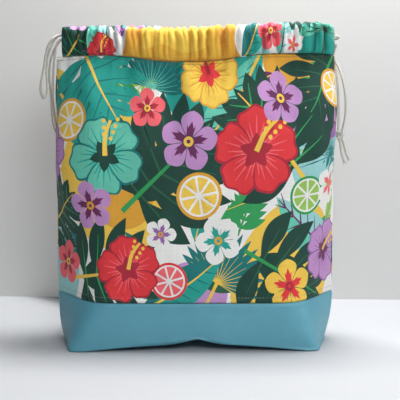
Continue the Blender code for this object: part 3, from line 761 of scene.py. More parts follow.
def relief(side, s, t, x, up, down):
    """How far the cloth stands out from the skin, in mm."""
    edge = np.minimum(s, FLAT_W - s)
    d = 1.6 * folds(x, down, side) * (0.30 + 0.70 * np.minimum(1.0, down / 7.0)) * np.minimum(1.0, up / 30.0)
    # the pleats of the casing press on into the panel
    press = GATHER[side].value(x, 0.9) - 0.55
    d += 2.1 * press * np.exp(-(down / 13.0) ** 1.3)
    # broad slackness and small puckers
    d += 0.95 * waves(s, t, 3 + side, 7, 55.0, 130.0) * np.minimum(1.0, up / 25.0) * np.minimum(1.0, down / 25.0)
    d += 0.24 * waves(s, t, 13 + side, 9, 16.0, 40.0) * np.minimum(1.0, up / 8.0)
    d += 0.17 * waves(s, t * 0.6, 17 + side, 9, 5.0, 11.0) * (np.exp(-(up / 9.0) ** 2) + 1.6 * np.exp(-(down / 7.0) ** 2))
    # seam allowance under the lower edge, held flat by the topstitch
    d += 0.55 * np.exp(-((up - 2.4) / 2.2) ** 4) - 0.5 * np.exp(-((up - STITCH_UP) / 0.9) ** 2)
    d -= 0.5 * np.exp(-up / 0.5)
    # the upper edge tucks in under the casing
    d -= 0.45 * np.exp(-((down - STITCH_DOWN) / 0.9) ** 2) + 0.9 * np.exp(-down / 0.8)
    # side seams
    d -= 1.3 * np.exp(-edge / 1.3)
    d += 0.35 * np.exp(-((edge - 5.0) / 3.4) ** 2) * (0.6 + 0.4 * waves(t, 0 * t, 41, 6, 12.0, 30.0))
    return d * (1.0 - 0.55 * np.exp(-edge / 16.0))


def panel_place(side):
    def place(s, t):
        """s along the width and t up the height, both in mm on the flat cloth."""
        u = 0.0009 + (1.0 - 0.0018) * s / FLAT_W
        x0, _ = skin(u, 45.0, side)
        x1, _ = skin(u, 252.0, side)
        low, high = seam_z(x0) + 0.12, casing_z(x1, side) - 0.1
        z = low + (high - low) * t / PANEL_H
        x, y = skin(u, z, side)
        nx, ny, nz = skin_normal(u, z, side)
        d = relief(side, s, t, x, np.maximum(z - low, 0.0), np.maximum(high - z, 0.0))
        return np.stack([x + nx * d, y + ny * d, z + nz * d], axis=1)
    return place


# ---------------------------------------------------------------- casing surface
CASE_W, CASE_H = 300.0, 60.0   # the strip as cut between its hems, and around its loop
CASE_HALF, CASE_HALF_END = 5.6, 3.2


def casing_place(side):
    xs = np.linspace(CASING_X0, CASING_X1, 600)
    ys = casing_axis(xs, side)
    run = np.concatenate([[0.0], np.cumsum(np.hypot(np.diff(xs), np.diff(ys)))])
    total = run[-1]
    gat, gat2 = GATHER[side], GATHER2[side]

    def place(s, t):
        x = np.interp(s / CASE_W * total, run, xs)
        y0 = casing_axis(x, side)
        h = 0.6
        xa, xb = np.clip(x - h, CASING_X0, CASING_X1), np.clip(x + h, CASING_X0, CASING_X1)
        slope = (casing_axis(xb, side) - casing_axis(xa, side)) / (xb - xa)
        nx, ny = (slope, -np.ones_like(slope)) if side < 0 else (-slope, np.ones_like(slope))
        q = np.hypot(nx, ny)
        nx, ny = nx / q, ny / q
        k = np.clip((np.abs(x) - 78.0) / 36.0, 0, 1)
        nx = nx * (1.0 - 0.6 * k * k * (3 - 2 * k))
        near = np.minimum(np.abs(x - CASING_X0), np.abs(CASING_X1 - x))
        half = CASE_HALF_END + (CASE_HALF - CASE_HALF_END) * np.sin(np.minimum(1.0, near / 30.0) * math.pi / 2)
        low, high = casing_z(x, side) + 0.32, rim_z(x, side)
        angle = 2 * math.pi * (0.012 + 0.976 * t / CASE_H)      # from the outer seam over the rim to the inner one
        c, w = np.cos(angle), np.sin(angle)
        up = 0.5 - 0.5 * c
        across = half * np.sign(w) * np.abs(w) ** 0.86
        # the pleats: strongest on the walls, softer over the rim
        lean = x + 1.6 * np.sin(up * 2.2 + x * 0.11) * (up - 0.2) + 0.9 * waves(x, up * 40.0, 51 + side, 5, 18.0, 50.0) * up
        r1 = gat.value(lean, 0.85) - 0.62
        r2 = gat2.value(lean + 3.0 * up, 0.9) - 0.6
        calm = np.clip(near / 7.0, 0.12, 1.0)
        strength = (0.55 + 1.05 * np.clip(up / 0.55, 0, 1) ** 1.3) * calm
        body = np.clip(np.abs(w) * 1.5, 0.0, 1.0)
        deep = np.clip(1.0 + 0.75 * waves(x, 0.0 * x, 71 + side, 5, 22.0, 60.0), 0.35, 2.0)
        ripple = (6.4 * r1 * deep + 2.2 * r2) * strength
        ripple += 0.35 * waves(x * 1.3, up * 30.0, 61 + side, 6, 9.0, 22.0) * calm
        # painted shade: the colour is darkened in the pleats' valleys, where shade falls, on top of the real pleats in
        # the shape
        place.tone = 1.0 - (0.46 * np.clip(-r1 * deep / 0.55, 0, 1) ** 1.1 + 0.12 * np.clip(-r2 / 0.5, 0, 1)) * body * calm
        # a faint pull where the cords run
        ripple -= 0.55 * np.exp(-((up - 0.52) / 0.10) ** 2) * calm * (0.5 + 0.5 * r1)
        sign = np.sign(w)
        across = across + sign * (ripple + 1.5) * body * 0.62
        # a valley goes no deeper than the cords that run inside
        least = 2.6 * np.minimum(1.0, np.abs(w) * 1.6) * np.minimum(1.0, 0.55 + near / 30.0)
        over = np.abs(across) - least
        across = sign * (least + 0.5 * (over + np.sqrt(over * over + 0.5)))
        z = low + (high - low) * up
        z = z + np.clip(up - 0.55, 0, 1) ** 1.2 * 9.5 * (0.95 * r1 * deep + 0.5 * r2) * np.clip(near / 30.0, 0.2, 1.0)
        # the hems at both ends are folded, so a little thicker
        across = across + sign * 0.45 * np.exp(-((near - 3.0) / 2.6) ** 4) * body
        across = across - sign * 0.35 * np.exp(-((near - 6.2) / 0.7) ** 2) * body
        return np.stack([x + nx * across, y0 + ny * across, z], axis=1)
    return place


# =====================================================================  the print
def lens(cx, cy, ang, length, width, bend=0.0, fat=0.45, n=22, blunt=1.0):
    """Leaf outline from its stem end, at an angle in degrees, with a curved middle."""
    a = math.radians(ang)
    t = np.linspace(0, 1, n)
    w = width * 0.5 * np.sin(math.pi * t ** (math.log(0.5) / math.log(fat))) ** blunt
    mx, my = t * length, bend * length * t * t
    tx, ty = np.ones_like(t), 2 * bend * t
    q = np.hypot(tx, ty)
    tx, ty = tx / q, ty / q
    up = np.stack([mx - ty * w, my + tx * w], 1)
    dn = np.stack([mx + ty * w, my - tx * w], 1)[::-1][1:-1]
    p = np.vstack([up, dn])
    c, s = math.cos(a), math.sin(a)
    return p @ np.array([[c, s], [-s, c]]) + np.array([cx, cy])


def stroke(points, w0, w1, step=3.0):
    """A line that tapers from w0 to w1, as an outline."""
    p = np.array(points, float)
    if len(p) > 2:
        p = through(np.column_stack([p, np.zeros(len(p))]), step)[:, :2]
    t = np.gradient(p, axis=0)
    t /= np.linalg.norm(t, axis=1)[:, None] + 1e-9
    w = np.linspace(w0, w1, len(p))[:, None] * 0.5
    n = np.stack([-t[:, 1], t[:, 0]], 1)
    return np.vstack([p + n * w, (p - n * w)[::-1]])


def disc(cx, cy, r, n=None, wob=0.0, seed=0):
    n = n or max(14, int(r * 2.2))
    a = np.linspace(0, 2 * math.pi, n, endpoint=False)
    rr = r * (1 + wob * np.sin(3 * a + seed) * 0.6 + wob * np.sin(2 * a + 2 * seed) * 0.4)
    return np.stack([cx + rr * np.cos(a), cy + rr * np.sin(a)], 1)


def blob(points, step=4.0):
    p = np.array(points, float)
    loop = np.vstack([p, p[:1]])
    ext = np.vstack([p[-1], loop, p[1]])
    fine = []
    for i in range(1, len(ext) - 2):
        p0, p1, p2, p3 = ext[i - 1:i + 3]
        for k in range(12):
            t = k / 12
            fine.append(0.5 * ((2 * p1) + (-p0 + p2) * t + (2 * p0 - 5 * p1 + 4 * p2 - p3) * t * t + (-p0 + 3 * p1 - 3 * p2 + p3) * t**3))
    return np.array(fine)


def split_leaf(out, cx, cy, ang, size, colour, vein, fingers=6, side_vein=None):
    """A broad leaf with deep slots between its fingers."""
    a = math.radians(ang)
    ax, ay = math.cos(a), math.sin(a)
    out.append((colour, lens(cx, cy, ang, size, size * 0.40, 0.0, 0.38)))
    for k in range(fingers):
        f = (k + 0.35) / fingers
        bx, by = cx + ax * size * (0.02 + 0.80 * f), cy + ay * size * (0.02 + 0.80 * f)
        reach = size * (0.60 * math.sin(math.pi * (0.30 + 0.62 * f)) + 0.08)
        wide = size * (0.235 - 0.085 * f)
        for sgn in (-1, 1):
            fan = 100 - 62 * f
            out.append((colour, lens(bx - ax * size * 0.03, by - ay * size * 0.03, ang + sgn * fan, reach, wide, -0.22 * sgn, 0.56)))
    if side_vein:
        for k in range(fingers):
            f = (k + 0.35) / fingers
            bx, by = cx + ax * size * (0.02 + 0.80 * f), cy + ay * size * (0.02 + 0.80 * f)
            reach = size * (0.60 * math.sin(math.pi * (0.30 + 0.62 * f)) + 0.08)
            for sgn in (-1, 1):
                b = a + sgn * math.radians(94 - 62 * f)
                out.append((side_vein, stroke([(bx, by), (bx + math.cos(b) * reach * 0.66, by + math.sin(b) * reach * 0.66)], size * 0.022, size * 0.006)))
    out.append((vein, stroke([(cx - ax * size * 0.16, cy - ay * size * 0.16), (cx + ax * size * 0.5, cy + ay * size * 0.5), (cx + ax * size * 0.93, cy + ay * size * 0.93)], size * 0.045, size * 0.010)))


def fan_palm(out, cx, cy, ang, size, colour, rib, spread_deg=150, blades=15):
    for k in range(blades):
        a = ang - spread_deg / 2 + spread_deg * k / (blades - 1)
        l = size * (0.80 + 0.20 * math.cos(math.radians(a - ang)))
        out.append((colour, lens(cx, cy, a, l, size * 0.135, 0.0, 0.62)))
    for k in range(blades):
        a = math.radians(ang - spread_deg / 2 + spread_deg * k / (blades - 1))
        out.append((rib, stroke([(cx, cy), (cx + math.cos(a) * size * 0.62, cy + math.sin(a) * size * 0.62)], size * 0.018, size * 0.005)))
    a = math.radians(ang)
    out.append((rib, stroke([(cx - math.cos(a) * size * 0.7, cy - math.sin(a) * size * 0.7), (cx - math.cos(a) * size * 0.3, cy - math.sin(a) * size * 0.34), (cx, cy)], size * 0.05, size * 0.06)))


def blade_leaf(out, cx, cy, ang, length, width, bend, colour, rib, veins, vein_colour, shade=None):
    """A long whole leaf with a rib, slanting veins and one half in a second colour."""
    whole = lens(cx, cy, ang, length, width, bend, 0.5, 30)
    out.append((colour, whole))
    a = math.radians(ang)
    c, s = math.cos(a), math.sin(a)

    def at(f, off):
        x, y = f * length, bend * length * f * f + off
        return cx + x * c - y * s, cy + x * s + y * c

    if shade:
        mid = np.array([at(f, 0.0) for f in np.linspace(1.0, 0.0, 20)])
        out.append((shade, np.vstack([whole[:30], mid[1:-1]])))
    for k in range(veins):
        f = 0.10 + 0.78 * k / (veins - 1)
        w = width * 0.5 * math.sin(math.pi * f) * 0.80
        for sgn in (-1, 1):
            out.append((vein_colour, stroke([at(f, 0.0), at(min(f + 0.10, 1.0), sgn * w)], width * 0.045, width * 0.014)))
    out.append((rib, stroke([at(-0.06, 0.0), at(0.3, 0.0), at(0.6, 0.0), at(0.97, 0.0)], width * 0.085, width * 0.025)))


def petal(cx, cy, ang, r, half, ruffle=0.0, seed=0.0, inner=0.0):
    """A fan-shaped petal with a ruffled outer edge."""
    th = np.linspace(-1, 1, 27)
    rr = r * (1.0 - 0.10 * th**2 - 0.42 * np.abs(th)**7) + ruffle * np.sin(9.0 * th + seed) * (1 - np.abs(th)**3)
    aa = math.radians(ang) + th * math.radians(half)
    arc = np.stack([cx + rr * np.cos(aa), cy + rr * np.sin(aa)], 1)
    a = math.radians(ang)
    return np.vstack([[cx + inner * math.cos(a), cy + inner * math.sin(a)], arc])


def bloom(out, cx, cy, r, ang, petals, inner, heart, count=5, wide=0.78):
    for k in range(count):
        out.append((petals, lens(cx, cy, ang + 360.0 * k / count, r, r * wide, 0.0, 0.66, 22, 0.72)))
    for k in range(count):
        a = ang + 360.0 * k / count
        out.append((inner, lens(cx, cy, a, r * 0.66, r * 0.24, 0.0, 0.40, 16)))
        for off in (-15, 15):
            out.append((inner, lens(cx, cy, a + off, r * 0.55, r * 0.08, 0.0, 0.5, 12)))
    out.append((heart, disc(cx, cy, r * 0.17, 18)))
    out.append((inner, disc(cx, cy, r * 0.07, 10)))


def hibiscus(out, cx, cy, r, ang, tone="red"):
    edge, face, vein, heart, anther = {"red": ("crimson", "red", "coral", "crimson", "yellow"),
                                       "gold": ("gold", "yellow", "gold", "red", "crimson"),
                                       "lilac": ("lilac2", "lilac", "lilac2", "plum", "yellow"),
                                       "teal": ("teal2", "mint", "teal", "deep", "yellow")}[tone]
    for k in range(5):
        a = ang + 72.0 * k
        out.append((edge, petal(cx, cy, a, r * 1.02, 43, r * 0.035, k)))
        out.append((face, petal(cx, cy, a, r * 0.97, 39, r * 0.035, k)))
    for k in range(5):
        a = ang + 72.0 * k
        for off, f in ((0, 0.80), (-16, 0.68), (16, 0.68), (-27, 0.55), (27, 0.55)):
            b = math.radians(a + off)
            out.append((vein, stroke([(cx + math.cos(b) * r * 0.2, cy + math.sin(b) * r * 0.2), (cx + math.cos(b) * r * f, cy + math.sin(b) * r * f)], r * 0.055, r * 0.012)))
        out.append((heart, lens(cx, cy, a, r * 0.42, r * 0.26, 0.0, 0.45, 14)))
    a = math.radians(ang + 36)
    tip = (cx + math.cos(a) * r * 0.90, cy + math.sin(a) * r * 0.90)
    out.append((anther, stroke([(cx, cy), ((cx + tip[0]) / 2 - 2, (cy + tip[1]) / 2 + 2), tip], r * 0.13, r * 0.08)))
    for k in range(7):
        b = a + (k % 2 * 2 - 1) * 0.20
        f = 0.46 + 0.085 * k
        out.append((anther, disc(cx + math.cos(b) * r * f, cy + math.sin(b) * r * f, r * 0.055, 10)))


def citrus(out, cx, cy, r, turn=0.0, rind="gold", flesh="yellow"):
    out.append((rind, disc(cx, cy, r, 44)))
    out.append(("white", disc(cx, cy, r * 0.87, 40)))
    for k in range(8):
        a0 = math.radians(turn + 45 * k + 4)
        a1 = math.radians(turn + 45 * k + 41)
        am = (a0 + a1) / 2
        aa = np.linspace(a0, a1, 7)
        arc = np.stack([cx + r * 0.78 * np.cos(aa), cy + r * 0.78 * np.sin(aa)], 1)
        out.append((flesh, np.vstack([[cx + r * 0.13 * math.cos(am), cy + r * 0.13 * math.sin(am)], arc])))


def fern(out, cx, cy, ang, length, colour, pairs=9, bend=0.18):
    a = math.radians(ang)
    c, s = math.cos(a), math.sin(a)
    for k in range(pairs):
        f = 0.08 + 0.86 * k / pairs
        x, y = f * length, bend * length * f * f
        px, py = cx + x * c - y * s, cy + x * s + y * c
        l = length * 0.30 * (1.05 - f) ** 0.7
        base = ang + math.degrees(math.atan(2 * bend * f))
        for sgn in (-1, 1):
            out.append((colour, lens(px, py, base + sgn * 52, l, l * 0.34, 0.0, 0.45, 12)))
    pts = [(cx + f * length * c - bend * length * f * f * s, cy + f * length * s + bend * length * f * f * c) for f in (0, 0.35, 0.7, 1.0)]
    out.append((colour, stroke(pts, length * 0.026, length * 0.010)))


def layout():
    """One repeat of the print: broad leaves, palms, blossom and fruit slices."""
    o = []
    # fields of colour
    o.append(("yellow", blob(((34, 84), (58, 52), (104, 46), (140, 70), (146, 116), (122, 160), (84, 178), (48, 160), (30, 122)))))
    o.append(("gold", blob(((52, 92), (78, 66), (108, 72), (118, 104), (96, 132), (64, 128)))))
    o.append(("yellow", blob(((196, -14), (250, -18), (292, 4), (300, 48), (276, 82), (238, 86), (206, 58), (190, 22)))))
    o.append(("gold", blob(((228, 196), (262, 168), (300, 172), (324, 200), (318, 232), (236, 232)))))
    o.append(("teal", blob(((136, 166), (164, 150), (200, 160), (216, 190), (206, 226), (142, 226), (126, 196)))))
    o.append(("aqua", blob(((-14, -10), (24, -14), (40, 12), (34, 48), (8, 62), (-14, 50)))))
    o.append(("lilac", blob(((128, -12), (170, -14), (186, 8), (172, 34), (142, 36), (124, 14)))))
    o.append(("aqua", blob(((252, 100), (284, 92), (320, 104), (326, 140), (296, 158), (262, 146), (246, 124)))))
    o.append(("yellow", blob(((-12, 150), (14, 142), (34, 160), (30, 190), (6, 204), (-14, 198)))))
    # ferns and small leaves
    fern(o, 196, 60, 66, 84, "green", 10, 0.16)
    fern(o, 44, 40, 148, 60, "teal2", 8, -0.16)
    fern(o, 262, 168, -66, 78, "teal2", 10, 0.14)
    fern(o, 118, 214, -128, 64, "lime", 8, 0.14)
    fern(o, 300, 206, -150, 60, "green", 8, 0.1)
    for x, y, a, l, w, col in ((60, 188, 40, 40, 16, "teal"), (66, 196, -24, 36, 14, "green"), (156, 56, 75, 40, 16, "teal"), (168, 50, 30, 38, 14, "green"),
                               (214, 92, 200, 38, 15, "green"), (236, 122, 20, 34, 14, "lime"), (22, 100, 130, 36, 14, "green"), (190, 10, 150, 40, 15, "deep2"),
                               (304, 70, 200, 40, 15, "green"), (112, 34, 120, 36, 14, "teal2"), (84, 30, 200, 36, 14, "deep2"), (292, 64, 70, 36, 14, "lime"),
                               (176, 140, 160, 40, 15, "plum"), (128, 150, 30, 38, 15, "teal"), (10, 78, 60, 36, 14, "lime"), (236, 196, 200, 38, 15, "plum")):
        o.append((col, lens(x, y, a, l, w, 0.12, 0.45)))
        o.append(("yellow" if col != "lime" else "deep2", stroke([(x, y), (x + math.cos(math.radians(a)) * l * 0.8, y + math.sin(math.radians(a)) * l * 0.8 + 1.5)], 1.2, 0.5)))
    # palms
    fan_palm(o, 288, 126, 100, 60, "aqua", "teal2", 190, 13)
    fan_palm(o, 22, 112, 195, 58, "teal", "yellow", 190, 17)
    fan_palm(o, 176, 18, 60, 50, "teal2", "yellow", 160, 15)
    fan_palm(o, 112, 190, 80, 44, "teal2", "mint", 170, 15)
    # whole leaves
    blade_leaf(o, -4, 196, -38, 128, 46, 0.14, "teal", "yellow", 9, "teal2", "teal2")
    blade_leaf(o, 226, 218, -122, 116, 42, -0.16, "mint", "yellow", 9, "teal2", "teal")
    blade_leaf(o, 318, 24, 152, 108, 38, -0.18, "aqua", "plum", 9, "plum", "mint")
    blade_leaf(o, 104, -8, 24, 92, 34, 0.16, "teal", "yellow", 8, "teal2", "teal2")
    blade_leaf(o, 322, 150, 170, 84, 30, 0.12, "lilac", "plum", 8, "plum", "lilac2")
    # split leaves, the darkest and largest shapes
    split_leaf(o, 100, 92, 44, 104, "deep", "green", 6, "deep2")
    split_leaf(o, 250, 116, 128, 92, "deep", "yellow", 6, "green")
    split_leaf(o, 214, 40, -30, 82, "deep", "green", 5, "deep2")
    split_leaf(o, 46, 20, 12, 78, "deep", "yellow", 5, "green")
    split_leaf(o, 40, 214, -52, 76, "teal", "yellow", 5, "teal2")
    split_leaf(o, 306, 216, -128, 72, "deep", "green", 5, "deep2")
    split_leaf(o, -6, 62, 34, 60, "deep", "yellow", 5, "green")
    # fruit slices
    citrus(o, 160, 96, 21, 10)
    citrus(o, 34, 158, 19, 25)
    citrus(o, 262, 92, 17, 5, "green", "lime")
    citrus(o, 132, 20, 17, 15, "red", "coral")
    citrus(o, 298, 184, 17, 15)
    # blossom
    hibiscus(o, 212, 132, 38, 16)
    hibiscus(o, 74, 128, 34, 50, "teal")
    hibiscus(o, 94, 30, 29, 30)
    hibiscus(o, 292, 40, 28, 0, "lilac")
    hibiscus(o, 6, 128, 26, 80, "lilac")
    hibiscus(o, 170, 202, 29, 66, "gold")
    bloom(o, 150, 144, 27, 8, "lilac", "plum", "yellow")
    bloom(o, 58, 84, 22, 30, "lilac", "plum", "gold")
    bloom(o, 238, 176, 23, 12, "lilac", "plum", "yellow")
    bloom(o, 178, 56, 22, 40, "white", "teal", "gold")
    bloom(o, 244, 14, 24, 22, "yellow", "red", "crimson")
    bloom(o, 22, 30, 20, 10, "coral", "crimson", "yellow")
    bloom(o, 290, 100, 19, 5, "white", "coral", "gold")
    bloom(o, 110, 172, 18, 22, "coral", "crimson", "yellow")
    bloom(o, 124, 62, 15, 0, "white", "lilac2", "gold")
    return o


def shifted(shapes, dx, dy, turn=0.0):
    c, s = math.cos(math.radians(turn)), math.sin(math.radians(turn))
    m = np.array([[c, s], [-s, c]])
    return [(name, np.asarray(p) @ m + np.array([dx, dy])) for name, p in shapes]


def casing_layout(seed):
    """The strips are cut from the same print; one broad yellow field lies across them, graded through amber to gold
    around its rim as painted shade, so the casing is darker low by its seams.
    """
    flip = seed % 2
    o = []
    o.append(("teal2", blob(((-10, -8), (56, -8), (52, 24), (58, 66), (-10, 66)))))
    o.append(("teal", blob(((252, -8), (310, -8), (310, 66), (262, 66), (270, 30)))))
    o.append(("aqua", blob(((196, -8), (226, -8), (222, 24), (228, 66), (200, 66), (206, 30)))))
    fan_palm(o, 286, 20, 84, 44, "mint", "deep2", 200, 17)
    fan_palm(o, 252, 56, -80, 40, "teal", "yellow", 190, 17)
    blade_leaf(o, 196, -4, 58, 52, 22, 0.1, "teal", "yellow", 7, "teal2", "teal2")
    blade_leaf(o, 208, 60, -60, 50, 20, -0.1, "lilac", "plum", 7, "plum", "lilac2")
    blade_leaf(o, 236, -2, 76, 46, 18, 0.1, "aqua", "plum", 7, "teal", "mint")
    split_leaf(o, 6, 2, 46, 50, "deep", "yellow", 5, "green")
    split_leaf(o, 40, 62, -100, 46, "deep", "green", 5, "deep2")
    split_leaf(o, 268, 60, -128, 44, "deep", "green", 5, "deep2")
    blade_leaf(o, 34, -4, 70, 48, 20, 0.14, "aqua", "plum", 7, "teal", "mint")
    blade_leaf(o, 66, 62, -96, 44, 18, 0.14, "lilac", "plum", 7, "plum", "lilac2")
    bloom(o, 20, 34, 13, 12, "lilac", "plum", "yellow")
    bloom(o, 226, 20, 14, 30, "coral", "crimson", "yellow")
    bloom(o, 294, 40, 13, 0, "lilac", "plum", "gold")
    bloom(o, 250, 10, 11, 0, "white", "coral", "gold")
    hibiscus(o, 46, 6, 15, 30)
    hibiscus(o, 214, 50, 15, 30)
    # painted shade: the gold and amber rings round the yellow print field make the casing's lower wall darker near its
    # seam
    o.append(("gold", blob(((70, -8), (110, -10), (160, -10), (196, -6), (188, 16), (194, 40), (190, 68), (150, 70), (100, 70), (70, 66), (76, 42), (72, 18)))))
    o.append(("amber", blob(((80, 3), (104, 6), (130, 2), (152, 6), (176, 3), (170, 22), (178, 44), (168, 62), (120, 66), (84, 60), (88, 32)))))
    o.append(("yellow", blob(((90, 12), (112, 15), (134, 10), (160, 14), (158, 26), (166, 44), (156, 58), (120, 60), (94, 54), (98, 32)))))
    if flip:
        return [(name, p * np.array([-1.0, 1.0]) + np.array([300.0, 0.0])) for name, p in o]
    return o


def inside(poly, px, py):
    """Even-odd test of many points against one outline."""
    x, y = poly[:, 0], poly[:, 1]
    x2, y2 = np.roll(x, -1), np.roll(y, -1)
    hit = np.zeros(len(px), bool)
    for a, b, c, d in zip(x, y, x2, y2):
        if b == d:
            continue
        m = (b > py) != (d > py)
        if m.any():
            hit[m] ^= px[m] < (c - a) * (py[m] - b) / (d - b) + a
    return hit


def printed_sheet(shapes, width, height, step_x, step_y):
    """Triangles of a flat printed cloth whose edges follow the outlines of the print."""
    keep = []
    for name, p in shapes:
        if p[:, 0].max() < 0 or p[:, 0].min() > width or p[:, 1].max() < 0 or p[:, 1].min() > height:
            continue
        keep.append((name, p))
    pts, edges = [], []
    nx, ny = int(round(width / step_x)), int(round(height / step_y))
    ring = ([(width * i / nx, 0.0) for i in range(nx)] + [(width, height * i / ny) for i in range(ny)]
            + [(width - width * i / nx, height) for i in range(nx)] + [(0.0, height - height * i / ny) for i in range(ny)])
    pts += ring
    edges += [(i, (i + 1) % len(ring)) for i in range(len(ring))]
    for name, p in keep:
        base = len(pts)
        pts += [tuple(q) for q in p]
        edges += [(base + i, base + (i + 1) % len(p)) for i in range(len(p))]
    tree = kdtree.KDTree(len(pts))
    for i, (x, y) in enumerate(pts):
        tree.insert((x, y, 0.0), i)
    tree.balance()
    gx, gy = np.meshgrid(np.linspace(0, width, nx + 1)[1:-1], np.linspace(0, height, ny + 1)[1:-1])
    gx = gx + (np.arange(gx.shape[0]) % 2)[:, None] * step_x * 0.5
    near = 0.34 * min(step_x, step_y)
    for x, y in zip(gx.ravel(), gy.ravel()):
        if x > width - near:
            continue
        if tree.find((x, y, 0.0))[2] > near:
            pts.append((float(x), float(y)))
    out = geometry.delaunay_2d_cdt([Vector(p) for p in pts], edges, [], 0, 1e-4, False)
    v = np.array([tuple(q) for q in out[0]])
    f = np.array([tuple(q) for q in out[2] if len(q) == 3], int)
    c = v[f].mean(axis=1)
    area = np.abs(np.cross(v[f[:, 1]] - v[f[:, 0]], v[f[:, 2]] - v[f[:, 0]])) / 2
    ok = (c[:, 0] > 0) & (c[:, 0] < width) & (c[:, 1] > 0) & (c[:, 1] < height) & (area > 1e-7)
    f, c = f[ok], c[ok]
    ink = np.tile(np.array(INK["white"]), (len(f), 1))
    for name, p in keep:
        lo, hi = p.min(axis=0), p.max(axis=0)
        idx = np.nonzero((c[:, 0] >= lo[0]) & (c[:, 0] <= hi[0]) & (c[:, 1] >= lo[1]) & (c[:, 1] <= hi[1]))[0]
        if len(idx):
            hit = inside(p, c[idx, 0], c[idx, 1])
            ink[idx[hit]] = INK[name]
    used = np.unique(f)
    remap = -np.ones(len(v), int)
    remap[used] = np.arange(len(used))
    return np.clip(v[used], (0, 0), (width, height)), remap[f], ink


def cloth_object(name, flat, tris, ink, place, thickness, outward):
    """A closed sheet: outer face where place puts it, inner face at the thickness."""
    p = place(flat[:, 0], flat[:, 1])
    e1, e2 = p[tris[:, 1]] - p[tris[:, 0]], p[tris[:, 2]] - p[tris[:, 0]]
    fn = np.cross(e1, e2)
    centre = p[tris].mean(axis=1)
    if (fn * outward(centre)).sum() < 0:
        tris = tris[:, ::-1]
        fn = -fn
    n = np.zeros_like(p)
    for k in range(3):
        np.add.at(n, tris[:, k], fn)
    n /= np.linalg.norm(n, axis=1)[:, None] + 1e-12
    inner = p - n * thickness
    count = len(p)
    edge = {}
    for a, b, c in tris:
        for i, j in ((a, b), (b, c), (c, a)):
            if (j, i) in edge:
                del edge[(j, i)]
            else:
                edge[(i, j)] = True
    rim = list(edge)
    verts = np.vstack([p, inner])
    faces = np.vstack([tris, tris[:, ::-1] + count])
    quads = [(j, i, i + count, j + count) for i, j in rim]
    mesh = bpy.data.meshes.new(name)
    mesh.from_pydata([tuple(v) for v in verts * MM], [], [tuple(int(i) for i in q) for q in faces] + [tuple(int(i) for i in q) for q in quads])
    loops = np.zeros(len(mesh.loops), np.int32)
    mesh.loops.foreach_get("vertex_index", loops)
    layer = (loops >= count).astype(float)
    at = flat[np.where(loops >= count, loops - count, loops)]
    size = flat.max(axis=0)
    bake = mesh.uv_layers.new(name="OFBake")
    uv = np.stack([at[:, 0] / size[0] * 0.96 + 0.02, (at[:, 1] / size[1] * 0.94 + 0.02 + layer) * 0.5], 1)
    bake.data.foreach_set("uv", uv.ravel().astype(np.float32))
    flat_uv = mesh.uv_layers.new(name="flat")
    flat_uv.data.foreach_set("uv", (at * MM).ravel().astype(np.float32))
    if ink is not None:
        colour = mesh.color_attributes.new(name="ink", type="FLOAT_COLOR", domain="CORNER")
        rim_ink = []
        per_tri = {}
        tri_of = {}
        for t, (a, b, c) in enumerate(tris):
            for i, j in ((a, b), (b, c), (c, a)):
                tri_of[(i, j)] = t
        rim_ink = np.array([ink[tri_of[r]] for r in rim]) if rim else np.zeros((0, 3))
        corner = np.vstack([np.repeat(ink, 3, axis=0), np.repeat(ink, 3, axis=0), np.repeat(rim_ink, 4, axis=0)])
        # painted shade: where place gives a tone (the casings), the ink is darkened and deepened in the pleat valleys
        tone = getattr(place, "tone", None)
        if tone is not None:
            rims = np.array([(j, i, i, j) for i, j in rim], int).ravel()
            tone = np.concatenate([tone[tris.ravel()], tone[tris[:, ::-1].ravel()], tone[rims]])[:, None]
            corner = corner ** (1.0 + 0.7 * (1.0 - tone)) * tone
        corner = np.hstack([corner, np.ones((len(corner), 1))])
        colour.data.foreach_set("color", corner.ravel().astype(np.float32))
    mesh.shade_smooth()
    ob = bpy.data.objects.new(name, mesh)
    bpy.context.scene.collection.objects.link(ob)
    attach(ob, "root")
    return ob


# ---------------------------------------------------------------- panels
STEP_FRONT, STEP_BACK = 2.1, 2.6     # mesh of the printed panels, in mm
repeat = layout()
flat, tris, ink = printed_sheet(repeat, FLAT_W, PANEL_H, STEP_FRONT, STEP_FRONT)
front = cloth_object("front_panel_cloth", flat, tris, ink, panel_place(-1), 0.6, lambda c: c * np.array([0.5, 1.0, 0.0]))
front.data.materials.append(PRINT_MAT)
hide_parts("front_panel")

back_shapes = shifted(repeat, -170, -40) + shifted(repeat, 142, 14) + shifted(repeat, -170, 160) + shifted(repeat, 142, 228)
flat, tris, ink = printed_sheet(back_shapes, FLAT_W, PANEL_H, STEP_BACK, STEP_BACK)
back = cloth_object("back_panel_cloth", flat, tris, ink, panel_place(1), 0.6, lambda c: c * np.array([0.5, 1.0, 0.0]))
back.data.materials.append(PRINT_MAT)
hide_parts("back_panel")

# ---------------------------------------------------------------- casings
for name, side, seed, node_name in (("front_casing_cloth", -1, 4, "front_casing"), ("back_casing_cloth", 1, 9, "back_casing")):
    flat, tris, ink = printed_sheet(casing_layout(seed), CASE_W, CASE_H, 1.05, 1.25)

    def away(c, side=side):
        mid = np.stack([c[:, 0], casing_axis(np.clip(c[:, 0], CASING_X0, CASING_X1), side), np.full(len(c), 268.0)], 1)
        return c - mid

    ob = cloth_object(name, flat, tris, ink, casing_place(side), 0.45, away)
    ob.data.materials.append(PRINT_MAT)
    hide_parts(node_name)


# =====================================================================  vinyl base
def ring_samples(per_half):
    t = np.linspace(0, 1, per_half + 1)
    u = 0.45 * 0.5 * (1 - np.cos(math.pi * t)) + 0.55 * t
    u_all = np.concatenate([u[:-1], u[::-1][:-1]])
    side = np.concatenate([-np.ones(per_half, int), np.ones(per_half, int)])
    return u_all, side


